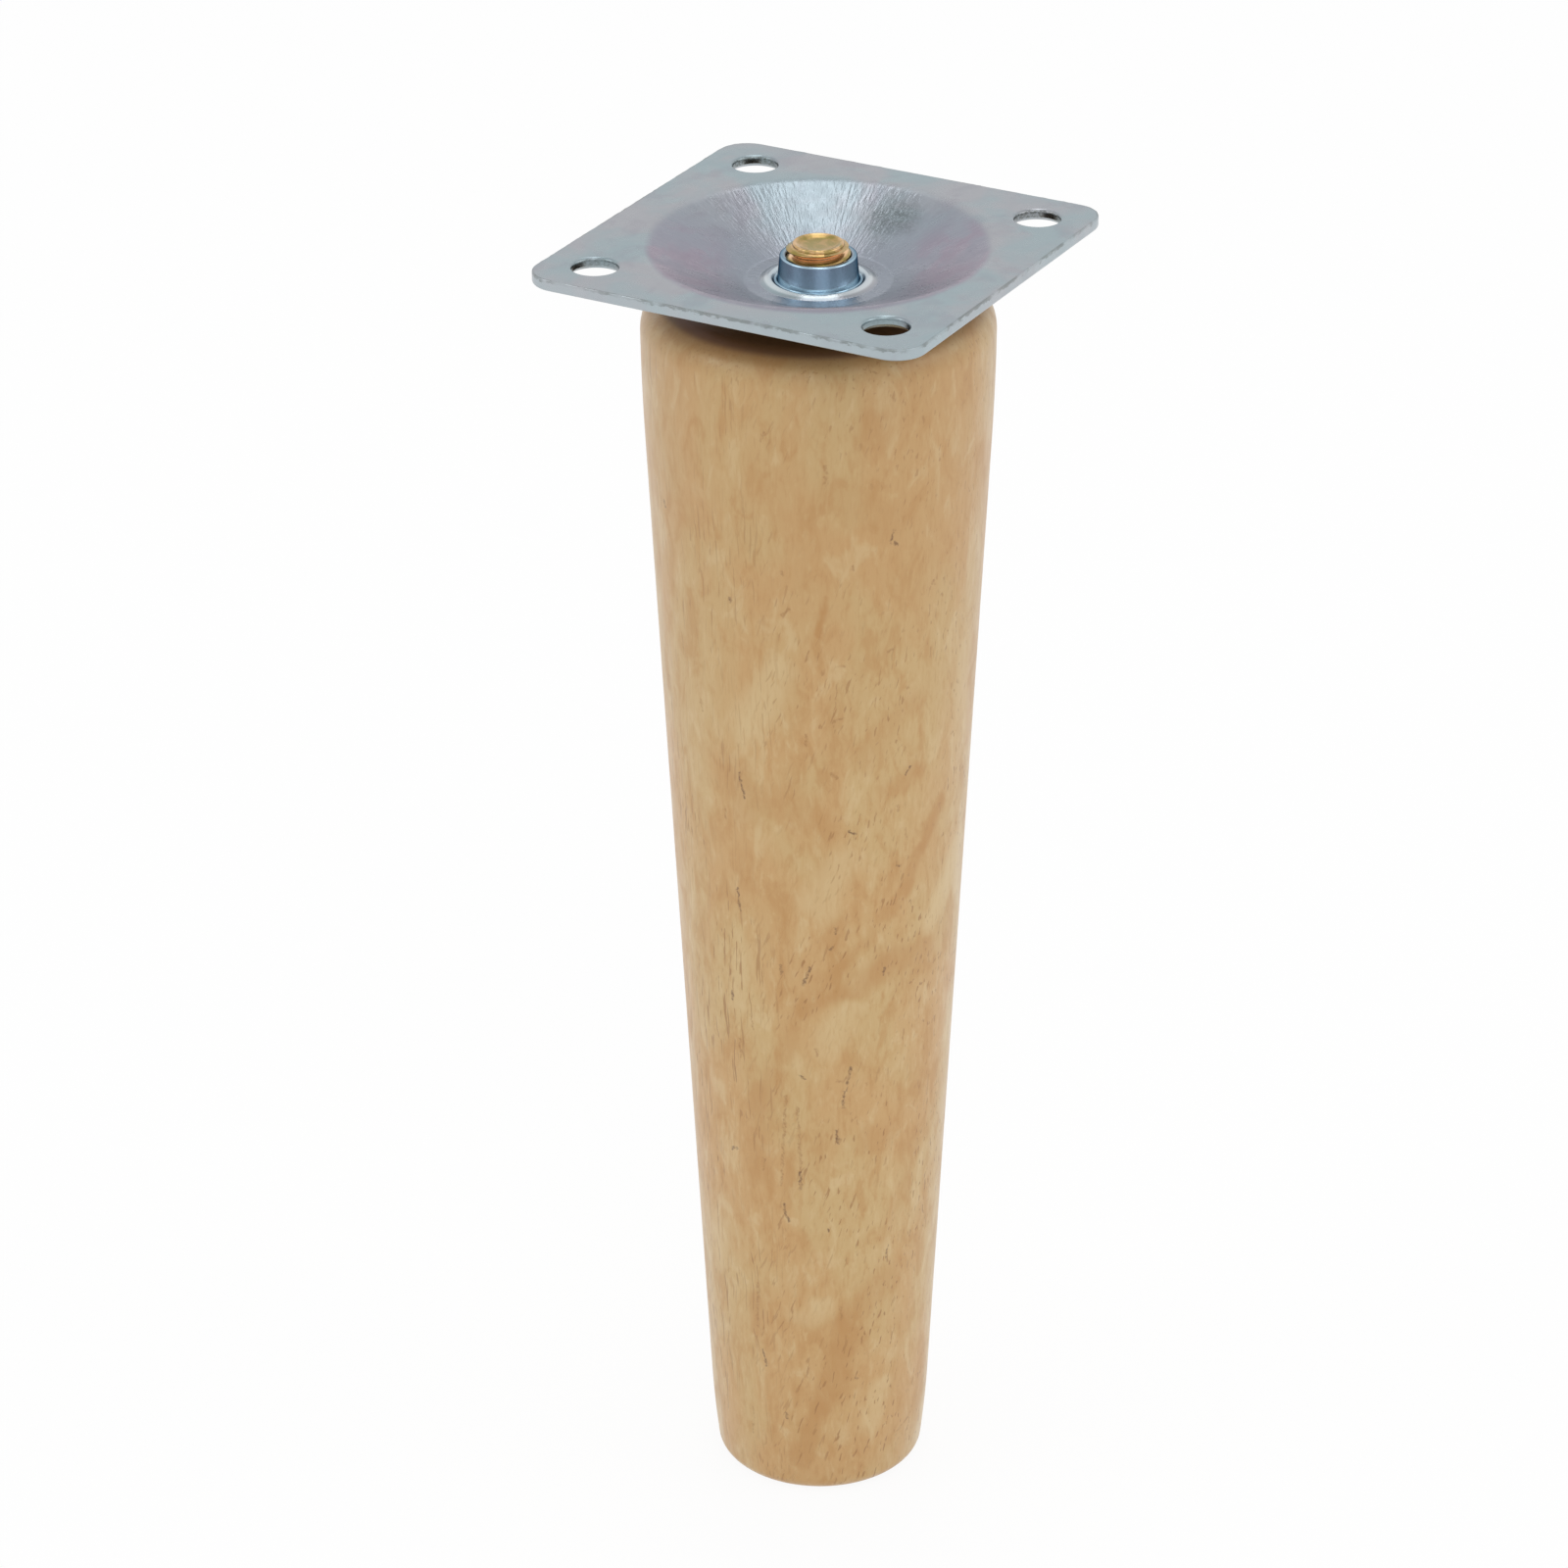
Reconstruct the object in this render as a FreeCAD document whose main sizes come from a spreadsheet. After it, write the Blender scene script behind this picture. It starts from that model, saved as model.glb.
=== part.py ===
import FreeCAD, Part
import os

import Sketcher

# Tapered wooden furniture leg with a screwed-on pressed mounting plate, in millimetres, +Z up.
# The origin is the centre of the foot, on the floor, and X and Y run along the plate's sides.
# Three pieces: the turned leg, the hanger bolt that stands in its top, and the dished plate
# whose drawn collar is tapped for the bolt.

# Driving sizes: name, value, meaning
SIZES = [
    ("leg_length", 167.6, "turned leg, from the floor to its flat top"),
    ("taper_foot_radius", 14.6, "leg radius where the straight taper meets the foot crown"),
    ("taper_top_radius", 21.6, "leg radius where the straight taper meets the top crown"),
    ("foot_crown_height", 12.0, "height over which the foot curves in"),
    ("foot_crown_radius", 150.0, "radius of that gentle curve"),
    ("foot_edge_radius", 2.0, "rounding of the foot's edge"),
    ("top_crown_height", 19.0, "depth over which the top curves in"),
    ("top_crown_radius", 343.0, "radius of that gentle curve"),
    ("top_edge_radius", 4.4, "rounding of the top's edge"),
    ("sheet_thickness", 1.5, "steel sheet of the mounting plate"),
    ("hole_pitch", 40.0, "screw hole to screw hole, along both sides"),
    ("hole_radius", 2.85, "screw hole"),
    ("hole_margin", 6.67, "screw hole centre to the plate's side"),
    ("corner_radius", 4.0, "rounded corner of the plate"),
    ("edge_roll_width", 0.3, "die roll along the plate's upper edge"),
    ("rim_width", 5.1, "narrowest flat rim between the dish and the plate's side"),
    ("dish_depth", 5.15, "flat rim down to the seat around the collar"),
    ("mouth_bend", 3.0, "inside radius of the bend from the rim into the dish"),
    ("floor_bend", 1.5, "inside radius of the bend from the dish wall to its floor"),
    ("ring_width", 2.3, "flat ring of the dish floor, outside the coined step"),
    ("seat_width", 1.8, "coined seat between the step and the collar"),
    ("step_height", 0.2, "coined step of the dish floor"),
    ("step_run", 0.5, "slope of that step, measured along the floor"),
    ("collar_rise", 3.6, "drawn collar above the seat"),
    ("collar_wall", 0.72, "collar wall at its top, outside the thread"),
    ("collar_draft_width", 0.33, "how much further out the collar stands at its foot"),
    ("collar_foot_width", 0.5, "flare at the collar's foot"),
    ("collar_lip_width", 0.2, "broken edge around the collar's top"),
    ("thread_lead_in", 0.25, "chamfer at the collar's mouth"),
    ("bore_entry_width", 0.8, "flare under the collar, where the sheet is drawn up"),
    ("thread_radius", 4.0, "machine thread of the bolt, over its crests"),
    ("thread_clearance", 0.05, "radial clearance of the bolt in the collar"),
    ("tip_chamfer_width", 0.65, "bevel of the bolt's end, measured inwards"),
    ("tip_chamfer_height", 0.8, "bevel of the bolt's end, measured down"),
    ("screw_radius", 3.5, "wood screw end of the bolt"),
    ("screw_length", 34.0, "wood screw end, with its point"),
    ("point_length", 4.0, "tapered point of the wood screw end"),
    ("point_radius", 1.2, "blunt end of that point"),
    ("pilot_clearance", 0.02, "radial clearance of the wood screw end in its bore"),
    ("pilot_depth_spare", 1.0, "bore left empty below the screw's point"),
]

# Places that several features share, worked out from the driving sizes
RIM_TOP = "Sizes.dish_depth + Sizes.sheet_thickness"
PLATE_HALF = "Sizes.hole_pitch / 2 + Sizes.hole_margin"
MOUTH_RADIUS = PLATE_HALF + " - Sizes.rim_width"
BORE_RADIUS = "Sizes.thread_radius + Sizes.thread_clearance"
COLLAR_TOP_RADIUS = BORE_RADIUS + " + Sizes.collar_wall"
COLLAR_FOOT_RADIUS = COLLAR_TOP_RADIUS + " + Sizes.collar_draft_width"
COLLAR_TOP = "Sizes.sheet_thickness + Sizes.collar_rise"
STEP_RADIUS = COLLAR_FOOT_RADIUS + " + Sizes.seat_width"
FLOOR_RADIUS = STEP_RADIUS + " + Sizes.ring_width"
RING_TOP = "Sizes.sheet_thickness + Sizes.step_height"
PILOT_RADIUS = "Sizes.screw_radius + Sizes.pilot_clearance"
BLANK_RADIUS = "hypot(" + PLATE_HALF + "; " + PLATE_HALF + ") + Sizes.sheet_thickness"

# The dish wall keeps the sheet's thickness: its underside is the top side moved by one
# thickness at right angles to the wall
WALL_RUN = "(" + MOUTH_RADIUS + " - (" + FLOOR_RADIUS + "))"
WALL_RISE = "(Sizes.dish_depth - Sizes.step_height)"
WALL_LENGTH = "hypot(" + WALL_RUN + "; " + WALL_RISE + ")"
UNDER_MOUTH_SHIFT = "Sizes.sheet_thickness * " + WALL_RISE + " / (" + WALL_LENGTH + " + " + WALL_RUN + ")"
UNDER_MOUTH_RADIUS = MOUTH_RADIUS + " + " + UNDER_MOUTH_SHIFT
UNDER_FLOOR_RADIUS = UNDER_MOUTH_RADIUS + " - Sizes.dish_depth * " + WALL_RUN + " / " + WALL_RISE

# How a sketch numbers the points of a line or an arc, its origin and its two axes
START, END, MIDDLE = range(1, 4)
X_AXIS, Y_AXIS = range(-1, -3, -1)
ORIGIN_POINT = (X_AXIS, START)

# Two places closer than this, in millimetres, are the same one
SAME_PLACE = 1e-4


def make_sizes(doc):
    """Spreadsheet of the driving sizes, one alias each."""
    sheet = doc.addObject("Spreadsheet::Sheet", "Sizes")
    for row, (name, value, meaning) in enumerate(SIZES, start=1):
        sheet.set("A%d" % row, name)
        sheet.set("B%d" % row, str(value))
        sheet.set("C%d" % row, meaning)
        sheet.setAlias("B%d" % row, name)
    doc.recompute()
    return sheet


def number(holder, expression):
    """Value of an expression, as a plain number."""
    value = holder.evalExpression(expression)
    return float(getattr(value, "Value", value))


def place(sketch, across, up):
    """Point of a sketch, from two expressions."""
    return FreeCAD.Vector(number(sketch, across), number(sketch, up), 0)


def new_body(doc, label):
    body = doc.addObject("PartDesign::Body", label)
    body.Label = label
    return body


def new_sketch(body, name, role):
    """Sketch on one of the body's own origin planes."""
    sketch = body.newObject("Sketcher::SketchObject", name)
    plane = next(item for item in body.Origin.OriginFeatures if item.Role == role)
    sketch.AttachmentSupport = [(plane, "")]
    sketch.MapMode = "FlatFace"
    return sketch


def pin(sketch, kind, axis, point, expression):
    """Hold one coordinate of a point at an expression's value."""
    if expression == "0":
        sketch.addConstraint(Sketcher.Constraint("PointOnObject", point[0], point[1], axis))
        return
    value = number(sketch, expression)
    added = sketch.addConstraint(Sketcher.Constraint(kind, *ORIGIN_POINT, *point, value))
    sketch.setExpression("Constraints[%d]" % added, expression)


def pin_point(sketch, point, across, up):
    pin(sketch, "DistanceX", Y_AXIS, point, across)
    pin(sketch, "DistanceY", X_AXIS, point, up)


def draw_outline(sketch, corners):
    """Closed outline of straight lines through (across, up) expressions."""
    places = [place(sketch, across, up) for across, up in corners]
    lines = []
    for here, there in zip(places, places[1:] + places[:1]):
        lines.append(sketch.addGeometry(Part.LineSegment(here, there)))
    for line, following in zip(lines, lines[1:] + lines[:1]):
        sketch.addConstraint(Sketcher.Constraint("Coincident", line, END, following, START))
    for line, (across, up) in zip(lines, corners):
        pin_point(sketch, (line, START), across, up)
    return lines


def draw_circle(sketch, across, up, radius):
    centre = place(sketch, across, up)
    circle = sketch.addGeometry(Part.Circle(centre, FreeCAD.Vector(0, 0, 1), number(sketch, radius)))
    pin_point(sketch, (circle, MIDDLE), across, up)
    hold_radius(sketch, circle, radius)
    return circle


def turn(body, kind, name, sketch):
    """Revolution or Groove of a sketch about the leg's axis."""
    feature = body.newObject("PartDesign::" + kind, name)
    feature.Profile = sketch
    feature.ReferenceAxis = (sketch, ["V_Axis"])
    feature.Angle = 360
    body.Document.recompute()
    return feature


def cut_through(body, name, sketch):
    """Pocket from the sketch upwards through the whole sheet."""
    before = body.Tip.Shape.Volume
    pocket = body.newObject("PartDesign::Pocket", name)
    pocket.Profile = sketch
    pocket.Reversed = True
    pocket.Type = "ThroughAll"
    body.Document.recompute()
    if not pocket.Shape.Volume < before:
        raise ValueError("%s removes nothing" % name)
    return pocket


def edge_names(feature, wanted):
    """Names of the feature's edges for which wanted(edge) is true."""
    numbered = enumerate(feature.Shape.Edges, start=1)
    return ["Edge%d" % order for order, edge in numbered if wanted(edge)]


def same(one, other):
    return abs(one - other) < SAME_PLACE


def is_ring(edge, radius, height):
    """True for a circle about the leg's axis with that radius and height."""
    curve = edge.Curve
    if not isinstance(curve, Part.Circle):
        return False
    centred = same(curve.Center.x, 0) and same(curve.Center.y, 0)
    return centred and same(curve.Center.z, height) and same(curve.Radius, radius)


def dress(body, kind, name, wanted, size):
    """Fillet or Chamfer on the tip's edges that wanted picks out."""
    base = body.Tip
    names = edge_names(base, wanted)
    if not names:
        raise ValueError("%s finds no edge" % name)
    feature = body.newObject("PartDesign::" + kind, name)
    feature.Base = (base, names)
    feature.setExpression("Radius" if kind == "Fillet" else "Size", size)
    body.Document.recompute()
    return feature


def dress_ring(body, kind, name, radius, height, size):
    """Fillet or Chamfer on one circular edge, found by its radius and height."""
    across = number(body, radius)
    up = number(body, height)
    return dress(body, kind, name, lambda edge: is_ring(edge, across, up), size)


def add_arc(sketch, centre, start, end):
    """Arc about a centre, under half a turn, from start to end."""
    radius = start.distanceToPoint(centre)
    middle = centre + ((start + end) * 0.5 - centre).normalize() * radius
    return sketch.addGeometry(Part.Arc(start, middle, end))


def end_at(sketch, arc, place):
    """Which end of the arc lies at a place."""
    return min((START, END), key=lambda end: sketch.getPoint(arc, end).distanceToPoint(place))


def hold_radius(sketch, curve, expression):
    added = sketch.addConstraint(Sketcher.Constraint("Radius", curve, number(sketch, expression)))
    sketch.setExpression("Constraints[%d]" % added, expression)


def draw_leg_end(sketch, taper, taper_end, level, crown_size, edge_size):
    """One end of the leg: the crown from the taper, the round of the edge and the flat end.

    taper_end is the taper line's end, level the flat end's height and the sizes the radii.
    """
    line = sketch.Geometry[taper]
    along = (line.EndPoint - line.StartPoint).normalize()
    inward = FreeCAD.Vector(-along.y, along.x, 0)
    joint = sketch.getPoint(taper, taper_end)
    height = number(sketch, level)
    crown_radius = number(sketch, crown_size)
    edge_radius = number(sketch, edge_size)
    crown_centre = joint + inward * crown_radius
    edge_height = height + (edge_radius if joint.y > height else -edge_radius)
    rise = edge_height - crown_centre.y
    run = ((crown_radius - edge_radius) ** 2 - rise ** 2) ** 0.5
    edge_centre = FreeCAD.Vector(crown_centre.x + run, edge_height, 0)
    meeting = crown_centre + (edge_centre - crown_centre).normalize() * crown_radius
    flat_edge = FreeCAD.Vector(edge_centre.x, height, 0)
    crown = add_arc(sketch, crown_centre, joint, meeting)
    edge = add_arc(sketch, edge_centre, meeting, flat_edge)
    flat = sketch.addGeometry(Part.LineSegment(place(sketch, "0", level), flat_edge))
    pin_point(sketch, (flat, START), "0", level)
    sketch.addConstraint(Sketcher.Constraint("Horizontal", flat))
    tangent = [
        (crown, end_at(sketch, crown, joint), taper, taper_end),
        (crown, end_at(sketch, crown, meeting), edge, end_at(sketch, edge, meeting)),
        (edge, end_at(sketch, edge, flat_edge), flat, END),
    ]
    for ends in tangent:
        sketch.addConstraint(Sketcher.Constraint("Tangent", *ends))
    hold_radius(sketch, crown, crown_size)
    hold_radius(sketch, edge, edge_size)
    return flat


def draw_leg_profile(sketch):
    """Half section of the turned leg: the straight taper, its two ends and the axis."""
    top_joint = "Sizes.leg_length - Sizes.top_crown_height"
    low = place(sketch, "Sizes.taper_foot_radius", "Sizes.foot_crown_height")
    high = place(sketch, "Sizes.taper_top_radius", top_joint)
    taper = sketch.addGeometry(Part.LineSegment(low, high))
    pin_point(sketch, (taper, START), "Sizes.taper_foot_radius", "Sizes.foot_crown_height")
    pin_point(sketch, (taper, END), "Sizes.taper_top_radius", top_joint)
    foot_sizes = ("Sizes.foot_crown_radius", "Sizes.foot_edge_radius")
    top_sizes = ("Sizes.top_crown_radius", "Sizes.top_edge_radius")
    foot = draw_leg_end(sketch, taper, START, "0", *foot_sizes)
    top = draw_leg_end(sketch, taper, END, "Sizes.leg_length", *top_sizes)
    axis = sketch.addGeometry(Part.LineSegment(sketch.getPoint(foot, START), sketch.getPoint(top, START)))
    sketch.addConstraint(Sketcher.Constraint("Coincident", axis, START, foot, START))
    sketch.addConstraint(Sketcher.Constraint("Coincident", axis, END, top, START))


def make_wooden_leg(doc):
    """Turned leg with crowned, rounded ends and a blind pilot bore in its top."""
    body = new_body(doc, "wooden_leg")
    profile = new_sketch(body, "LegProfile", "XZ_Plane")
    draw_leg_profile(profile)
    doc.recompute()
    turn(body, "Revolution", "TurnedBlank", profile)
    bore = new_sketch(body, "PilotProfile", "XZ_Plane")
    bottom = "Sizes.leg_length - Sizes.screw_length - Sizes.pilot_depth_spare"
    draw_outline(bore, [
        ("0", bottom),
        ("Sizes.point_radius + Sizes.pilot_clearance", bottom),
        (PILOT_RADIUS, bottom + " + Sizes.point_length"),
        (PILOT_RADIUS, "Sizes.leg_length"),
        ("0", "Sizes.leg_length"),
    ])
    before = body.Tip.Shape.Volume
    groove = turn(body, "Groove", "PilotBore", bore)
    if not groove.Shape.Volume < before:
        raise ValueError("the pilot bore removes nothing")
    return body


def make_hanger_bolt(doc):
    """Hanger bolt: machine thread end up through the collar, wood screw end down in the leg."""
    body = new_body(doc, "hanger_bolt")
    body.setExpression("Placement.Base.z", "Sizes.leg_length - Sizes.screw_length")
    profile = new_sketch(body, "BoltProfile", "XZ_Plane")
    end = "Sizes.screw_length + " + RIM_TOP
    draw_outline(profile, [
        ("0", "0"),
        ("Sizes.point_radius", "0"),
        ("Sizes.screw_radius", "Sizes.point_length"),
        ("Sizes.screw_radius", "Sizes.screw_length"),
        ("Sizes.thread_radius", "Sizes.screw_length"),
        ("Sizes.thread_radius", end + " - Sizes.tip_chamfer_height"),
        ("Sizes.thread_radius - Sizes.tip_chamfer_width", end),
        ("0", end),
    ])
    doc.recompute()
    turn(body, "Revolution", "Bolt", profile)
    return body


def draw_sheet_profile(sketch):
    """Half section of the pressed sheet, from the collar's bore out to the blank's edge."""
    corners = [
        (BORE_RADIUS, "0"),
        (BORE_RADIUS, COLLAR_TOP),
        (COLLAR_TOP_RADIUS, COLLAR_TOP),
        (COLLAR_FOOT_RADIUS, "Sizes.sheet_thickness"),
        (STEP_RADIUS + " - Sizes.step_run", "Sizes.sheet_thickness"),
        (STEP_RADIUS, RING_TOP),
        (FLOOR_RADIUS, RING_TOP),
        (MOUTH_RADIUS, RIM_TOP),
        (BLANK_RADIUS, RIM_TOP),
        (BLANK_RADIUS, "Sizes.dish_depth"),
        (UNDER_MOUTH_RADIUS, "Sizes.dish_depth"),
        (UNDER_FLOOR_RADIUS, "0"),
    ]
    draw_outline(sketch, corners)


def trim_sheet(body):
    """Cut the round blank to a square with rounded corners."""
    outline = new_sketch(body, "SquareOutline", "XY_Plane")
    draw_circle(outline, "0", "0", BLANK_RADIUS + " + Sizes.sheet_thickness")
    low = "-(" + PLATE_HALF + ")"
    draw_outline(outline, [(low, low), (PLATE_HALF, low), (PLATE_HALF, PLATE_HALF), (low, PLATE_HALF)])
    body.Document.recompute()
    cut_through(body, "SquareTrim", outline)
    half = number(body, PLATE_HALF)

    def is_corner(edge):
        low_end, high_end = edge.Vertexes[0], edge.Vertexes[-1]
        upright = same(low_end.X, high_end.X) and same(low_end.Y, high_end.Y)
        return upright and same(abs(low_end.X), half) and same(abs(low_end.Y), half)

    dress(body, "Fillet", "Corners", is_corner, "Sizes.corner_radius")


def round_bends(body):
    """Rounds of the dish's bends, on both sides of the sheet, and the collar's edges."""
    outer = " + Sizes.sheet_thickness"
    collar_foot = (COLLAR_FOOT_RADIUS, "Sizes.sheet_thickness")
    dress_ring(body, "Fillet", "MouthBendTop", MOUTH_RADIUS, RIM_TOP, "Sizes.mouth_bend" + outer)
    dress_ring(body, "Fillet", "MouthBendUnder", UNDER_MOUTH_RADIUS, "Sizes.dish_depth", "Sizes.mouth_bend")
    dress_ring(body, "Fillet", "FloorBendTop", FLOOR_RADIUS, RING_TOP, "Sizes.floor_bend")
    dress_ring(body, "Fillet", "FloorBendUnder", UNDER_FLOOR_RADIUS, "0", "Sizes.floor_bend" + outer)
    dress_ring(body, "Chamfer", "CollarFoot", *collar_foot, "Sizes.collar_foot_width")
    dress_ring(body, "Chamfer", "CollarLip", COLLAR_TOP_RADIUS, COLLAR_TOP, "Sizes.collar_lip_width")
    dress_ring(body, "Chamfer", "ThreadLeadIn", BORE_RADIUS, COLLAR_TOP, "Sizes.thread_lead_in")
    dress_ring(body, "Chamfer", "BoreEntry", BORE_RADIUS, "0", "Sizes.bore_entry_width")


def pierce_holes(body):
    """Four screw holes on a square, one at each corner."""
    outline = new_sketch(body, "HoleOutline", "XY_Plane")
    draw_circle(outline, "Sizes.hole_pitch / 2", "Sizes.hole_pitch / 2", "Sizes.hole_radius")
    body.Document.recompute()
    hole = cut_through(body, "ScrewHole", outline)
    pattern = body.newObject("PartDesign::PolarPattern", "ScrewHoles")
    pattern.Originals = [hole]
    pattern.Axis = (outline, ["N_Axis"])
    pattern.Angle = 360
    pattern.Occurrences = 4
    body.Tip = pattern
    body.Document.recompute()


def roll_outline(body):
    """Die roll along the plate's upper outline."""
    top = number(body, RIM_TOP)
    half = number(body, PLATE_HALF)

    def is_outline(edge):
        at_top = all(same(vertex.Z, top) for vertex in edge.Vertexes)
        return at_top and all(same(max(abs(vertex.X), abs(vertex.Y)), half) for vertex in edge.Vertexes)

    dress(body, "Chamfer", "EdgeRoll", is_outline, "Sizes.edge_roll_width")


def make_mounting_plate(doc):
    """Square plate pressed from one sheet: dish, stepped floor, tapped collar, screw holes."""
    body = new_body(doc, "mounting_plate")
    body.setExpression("Placement.Base.z", "Sizes.leg_length")
    profile = new_sketch(body, "SheetProfile", "XZ_Plane")
    draw_sheet_profile(profile)
    doc.recompute()
    turn(body, "Revolution", "DishedSheet", profile)
    round_bends(body)
    trim_sheet(body)
    pierce_holes(body)
    roll_outline(body)
    return body


def check_document(doc, bodies):
    """Stop if any feature failed or a piece isn't one closed solid."""
    doc.recompute()
    for item in doc.Objects:
        if "Invalid" in item.State or "Error" in item.State:
            raise ValueError("%s could not be made" % item.Label)
    for body in bodies:
        if body.Shape.isNull() or not body.Shape.isValid():
            raise ValueError("%s has no valid shape" % body.Label)
        if len(body.Shape.Solids) != 1:
            raise ValueError("%s is not one solid" % body.Label)


def main():
    doc = FreeCAD.newDocument("FurnitureLeg")
    make_sizes(doc)
    bodies = [make_wooden_leg(doc), make_hanger_bolt(doc), make_mounting_plate(doc)]
    check_document(doc, bodies)
    os.makedirs("parts", exist_ok=True)
    for body in bodies:
        body.Shape.exportStep("parts/%s.step" % body.Label)
        box = body.Shape.BoundBox
        print("%s: volume %.1f, z %.3f to %.3f" % (body.Label, body.Shape.Volume, box.ZMin, box.ZMax))


main()
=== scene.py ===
"""Turned wooden furniture leg with its hanger bolt and its pressed mounting plate."""
import math

import bpy
from bpy.props import FloatProperty, FloatVectorProperty, IntProperty, PointerProperty
from mathutils import Matrix, Vector


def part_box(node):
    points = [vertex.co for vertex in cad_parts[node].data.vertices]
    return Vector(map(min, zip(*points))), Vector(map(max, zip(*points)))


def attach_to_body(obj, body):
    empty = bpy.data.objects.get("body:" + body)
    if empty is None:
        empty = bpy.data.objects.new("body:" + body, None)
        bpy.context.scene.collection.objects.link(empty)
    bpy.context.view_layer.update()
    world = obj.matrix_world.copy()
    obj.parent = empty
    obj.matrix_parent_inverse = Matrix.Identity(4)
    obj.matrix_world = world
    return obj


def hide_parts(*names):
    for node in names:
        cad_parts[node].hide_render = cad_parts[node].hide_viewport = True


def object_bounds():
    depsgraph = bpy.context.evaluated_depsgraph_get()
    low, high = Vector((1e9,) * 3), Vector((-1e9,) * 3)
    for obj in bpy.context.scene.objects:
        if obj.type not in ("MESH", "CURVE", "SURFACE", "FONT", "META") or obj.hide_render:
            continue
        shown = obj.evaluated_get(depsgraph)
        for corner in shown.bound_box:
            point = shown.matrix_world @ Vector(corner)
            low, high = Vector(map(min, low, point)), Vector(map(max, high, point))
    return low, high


bl_info = {
    "name": "Tapered Furniture Leg",
    "version": (1, 0, 0),
    "blender": (4, 5, 0),
    "location": "3D View > Sidebar > Furniture Leg",
    "description": "Turned leg, hanger bolt and pressed mounting plate, with their finishes and a plain stage",
    "category": "Object",
}

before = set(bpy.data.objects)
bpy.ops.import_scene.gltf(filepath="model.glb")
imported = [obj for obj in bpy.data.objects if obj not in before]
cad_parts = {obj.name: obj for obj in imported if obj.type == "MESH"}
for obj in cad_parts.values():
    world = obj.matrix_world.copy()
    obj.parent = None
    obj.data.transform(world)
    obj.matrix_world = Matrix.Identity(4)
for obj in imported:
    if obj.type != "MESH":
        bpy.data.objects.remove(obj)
cad_low, cad_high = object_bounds()
leg_low, leg_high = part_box("wooden_leg")
bolt_low, bolt_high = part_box("hanger_bolt")
plate_low, plate_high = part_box("mounting_plate")

MM = 0.001
FULL_TURN = 2 * math.pi

# Points nearer than this are merged, and heights nearer than this count as one
MERGED = MM / 200
LEVEL = MM / 100

# Depth of a metric thread in pitches, and root of the wood thread as a share of its crest
METRIC_DEPTH = 0.6134
WOOD_ROOT = 0.72

# Radius at the leg's foot and top where its figure and marks are laid
MARKED_FOOT_RADIUS = 14.0 * MM
MARKED_TOP_RADIUS = 22.5 * MM

# Level directions to the photo's camera and to its right, which place the plate's tints and its painted light
# and shade, and the middle of the dull stain in its dish
FRONT = (0.48, -0.877, 0)
RIGHT = (0.878, 0.479, 0)
STAIN_CENTRE = (1.6 * MM, 16.2 * MM, 172.2 * MM)

# Lamps: name, degrees round from the camera, elevation, distance, width, length, brightness
LAMPS = (
    ("top_lamp", 181.5, 77, 1.4, 0.40, 1.50, 1.64),
    ("left_lamp", 75, 38, 1.6, 0.8, 0.8, 1.08),
    ("front_lamp", -12, 46, 1.6, 0.8, 0.8, 1.2),
    ("right_lamp", -75, 34, 1.6, 0.8, 0.8, 1.2),
)


# Properties

def length(name, description, millimetres):
    """Length property whose default is given in millimetres."""
    return FloatProperty(
        name=name, description=description, default=millimetres * MM, precision=5, unit="LENGTH")


def colour(name, description, red, green, blue):
    """Colour property with a linear default."""
    default = (red, green, blue, 1.0)
    return FloatVectorProperty(
        name=name, description=description, default=default, size=4, min=0.0, max=1.0, subtype="COLOR")


def share(name, description, value):
    return FloatProperty(name=name, description=description, default=value, min=0.0, soft_max=1.0)


def angle(name, description, degrees):
    return FloatProperty(name=name, description=description, default=math.radians(degrees), subtype="ANGLE")


class TurnedLegSettings(bpy.types.PropertyGroup):
    """Sizes and colours of the turned leg."""
    taper_foot_radius: length("Taper radius at foot", "Where the straight taper meets the foot crown", 14.6)
    taper_top_radius: length("Taper radius at top", "Where the straight taper meets the top crown", 21.6)
    foot_crown_height: length("Foot crown height", "Height over which the foot curves in", 12.0)
    foot_crown_radius: length("Foot crown radius", "Radius of that gentle curve", 150.0)
    foot_edge_radius: length("Foot edge radius", "Rounding of the foot's edge", 2.0)
    top_crown_height: length("Top crown height", "Depth over which the top curves in", 19.0)
    top_crown_radius: length("Top crown radius", "Radius of that gentle curve", 343.0)
    top_edge_radius: length("Top edge radius", "Rounding of the top's edge", 4.4)
    bore_radius: length("Bore radius", "Pilot bore for the wood screw end of the bolt", 3.52)
    point_length: length("Bore point length", "Tapered bottom of the pilot bore", 4.0)
    point_radius: length("Bore point radius", "Bottom of the pilot bore", 1.22)
    spare_depth: length("Spare bore depth", "Bore left empty below the bolt", 1.0)
    around: IntProperty(name="Steps around", description="Faces around the leg", default=128, min=16)
    straw: colour("Straw", "Yellow ground of the wood", 0.585, 0.395, 0.168)
    blush: colour("Blush", "Pinkish ground of the wood", 0.575, 0.345, 0.135)
    cream: colour("Cream", "Palest ground of the wood", 0.650, 0.475, 0.235)
    toffee: colour("Toffee", "Brown patches and bands", 0.495, 0.255, 0.075)
    # Pore and knot colours also serve as painted shade at the top of the leg, under the plate
    pore_and_shade: colour("Pore", "Brown of the open pores", 0.330, 0.150, 0.036)
    knot_and_shade: colour("Knot", "Darkest specks", 0.130, 0.052, 0.014)


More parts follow.
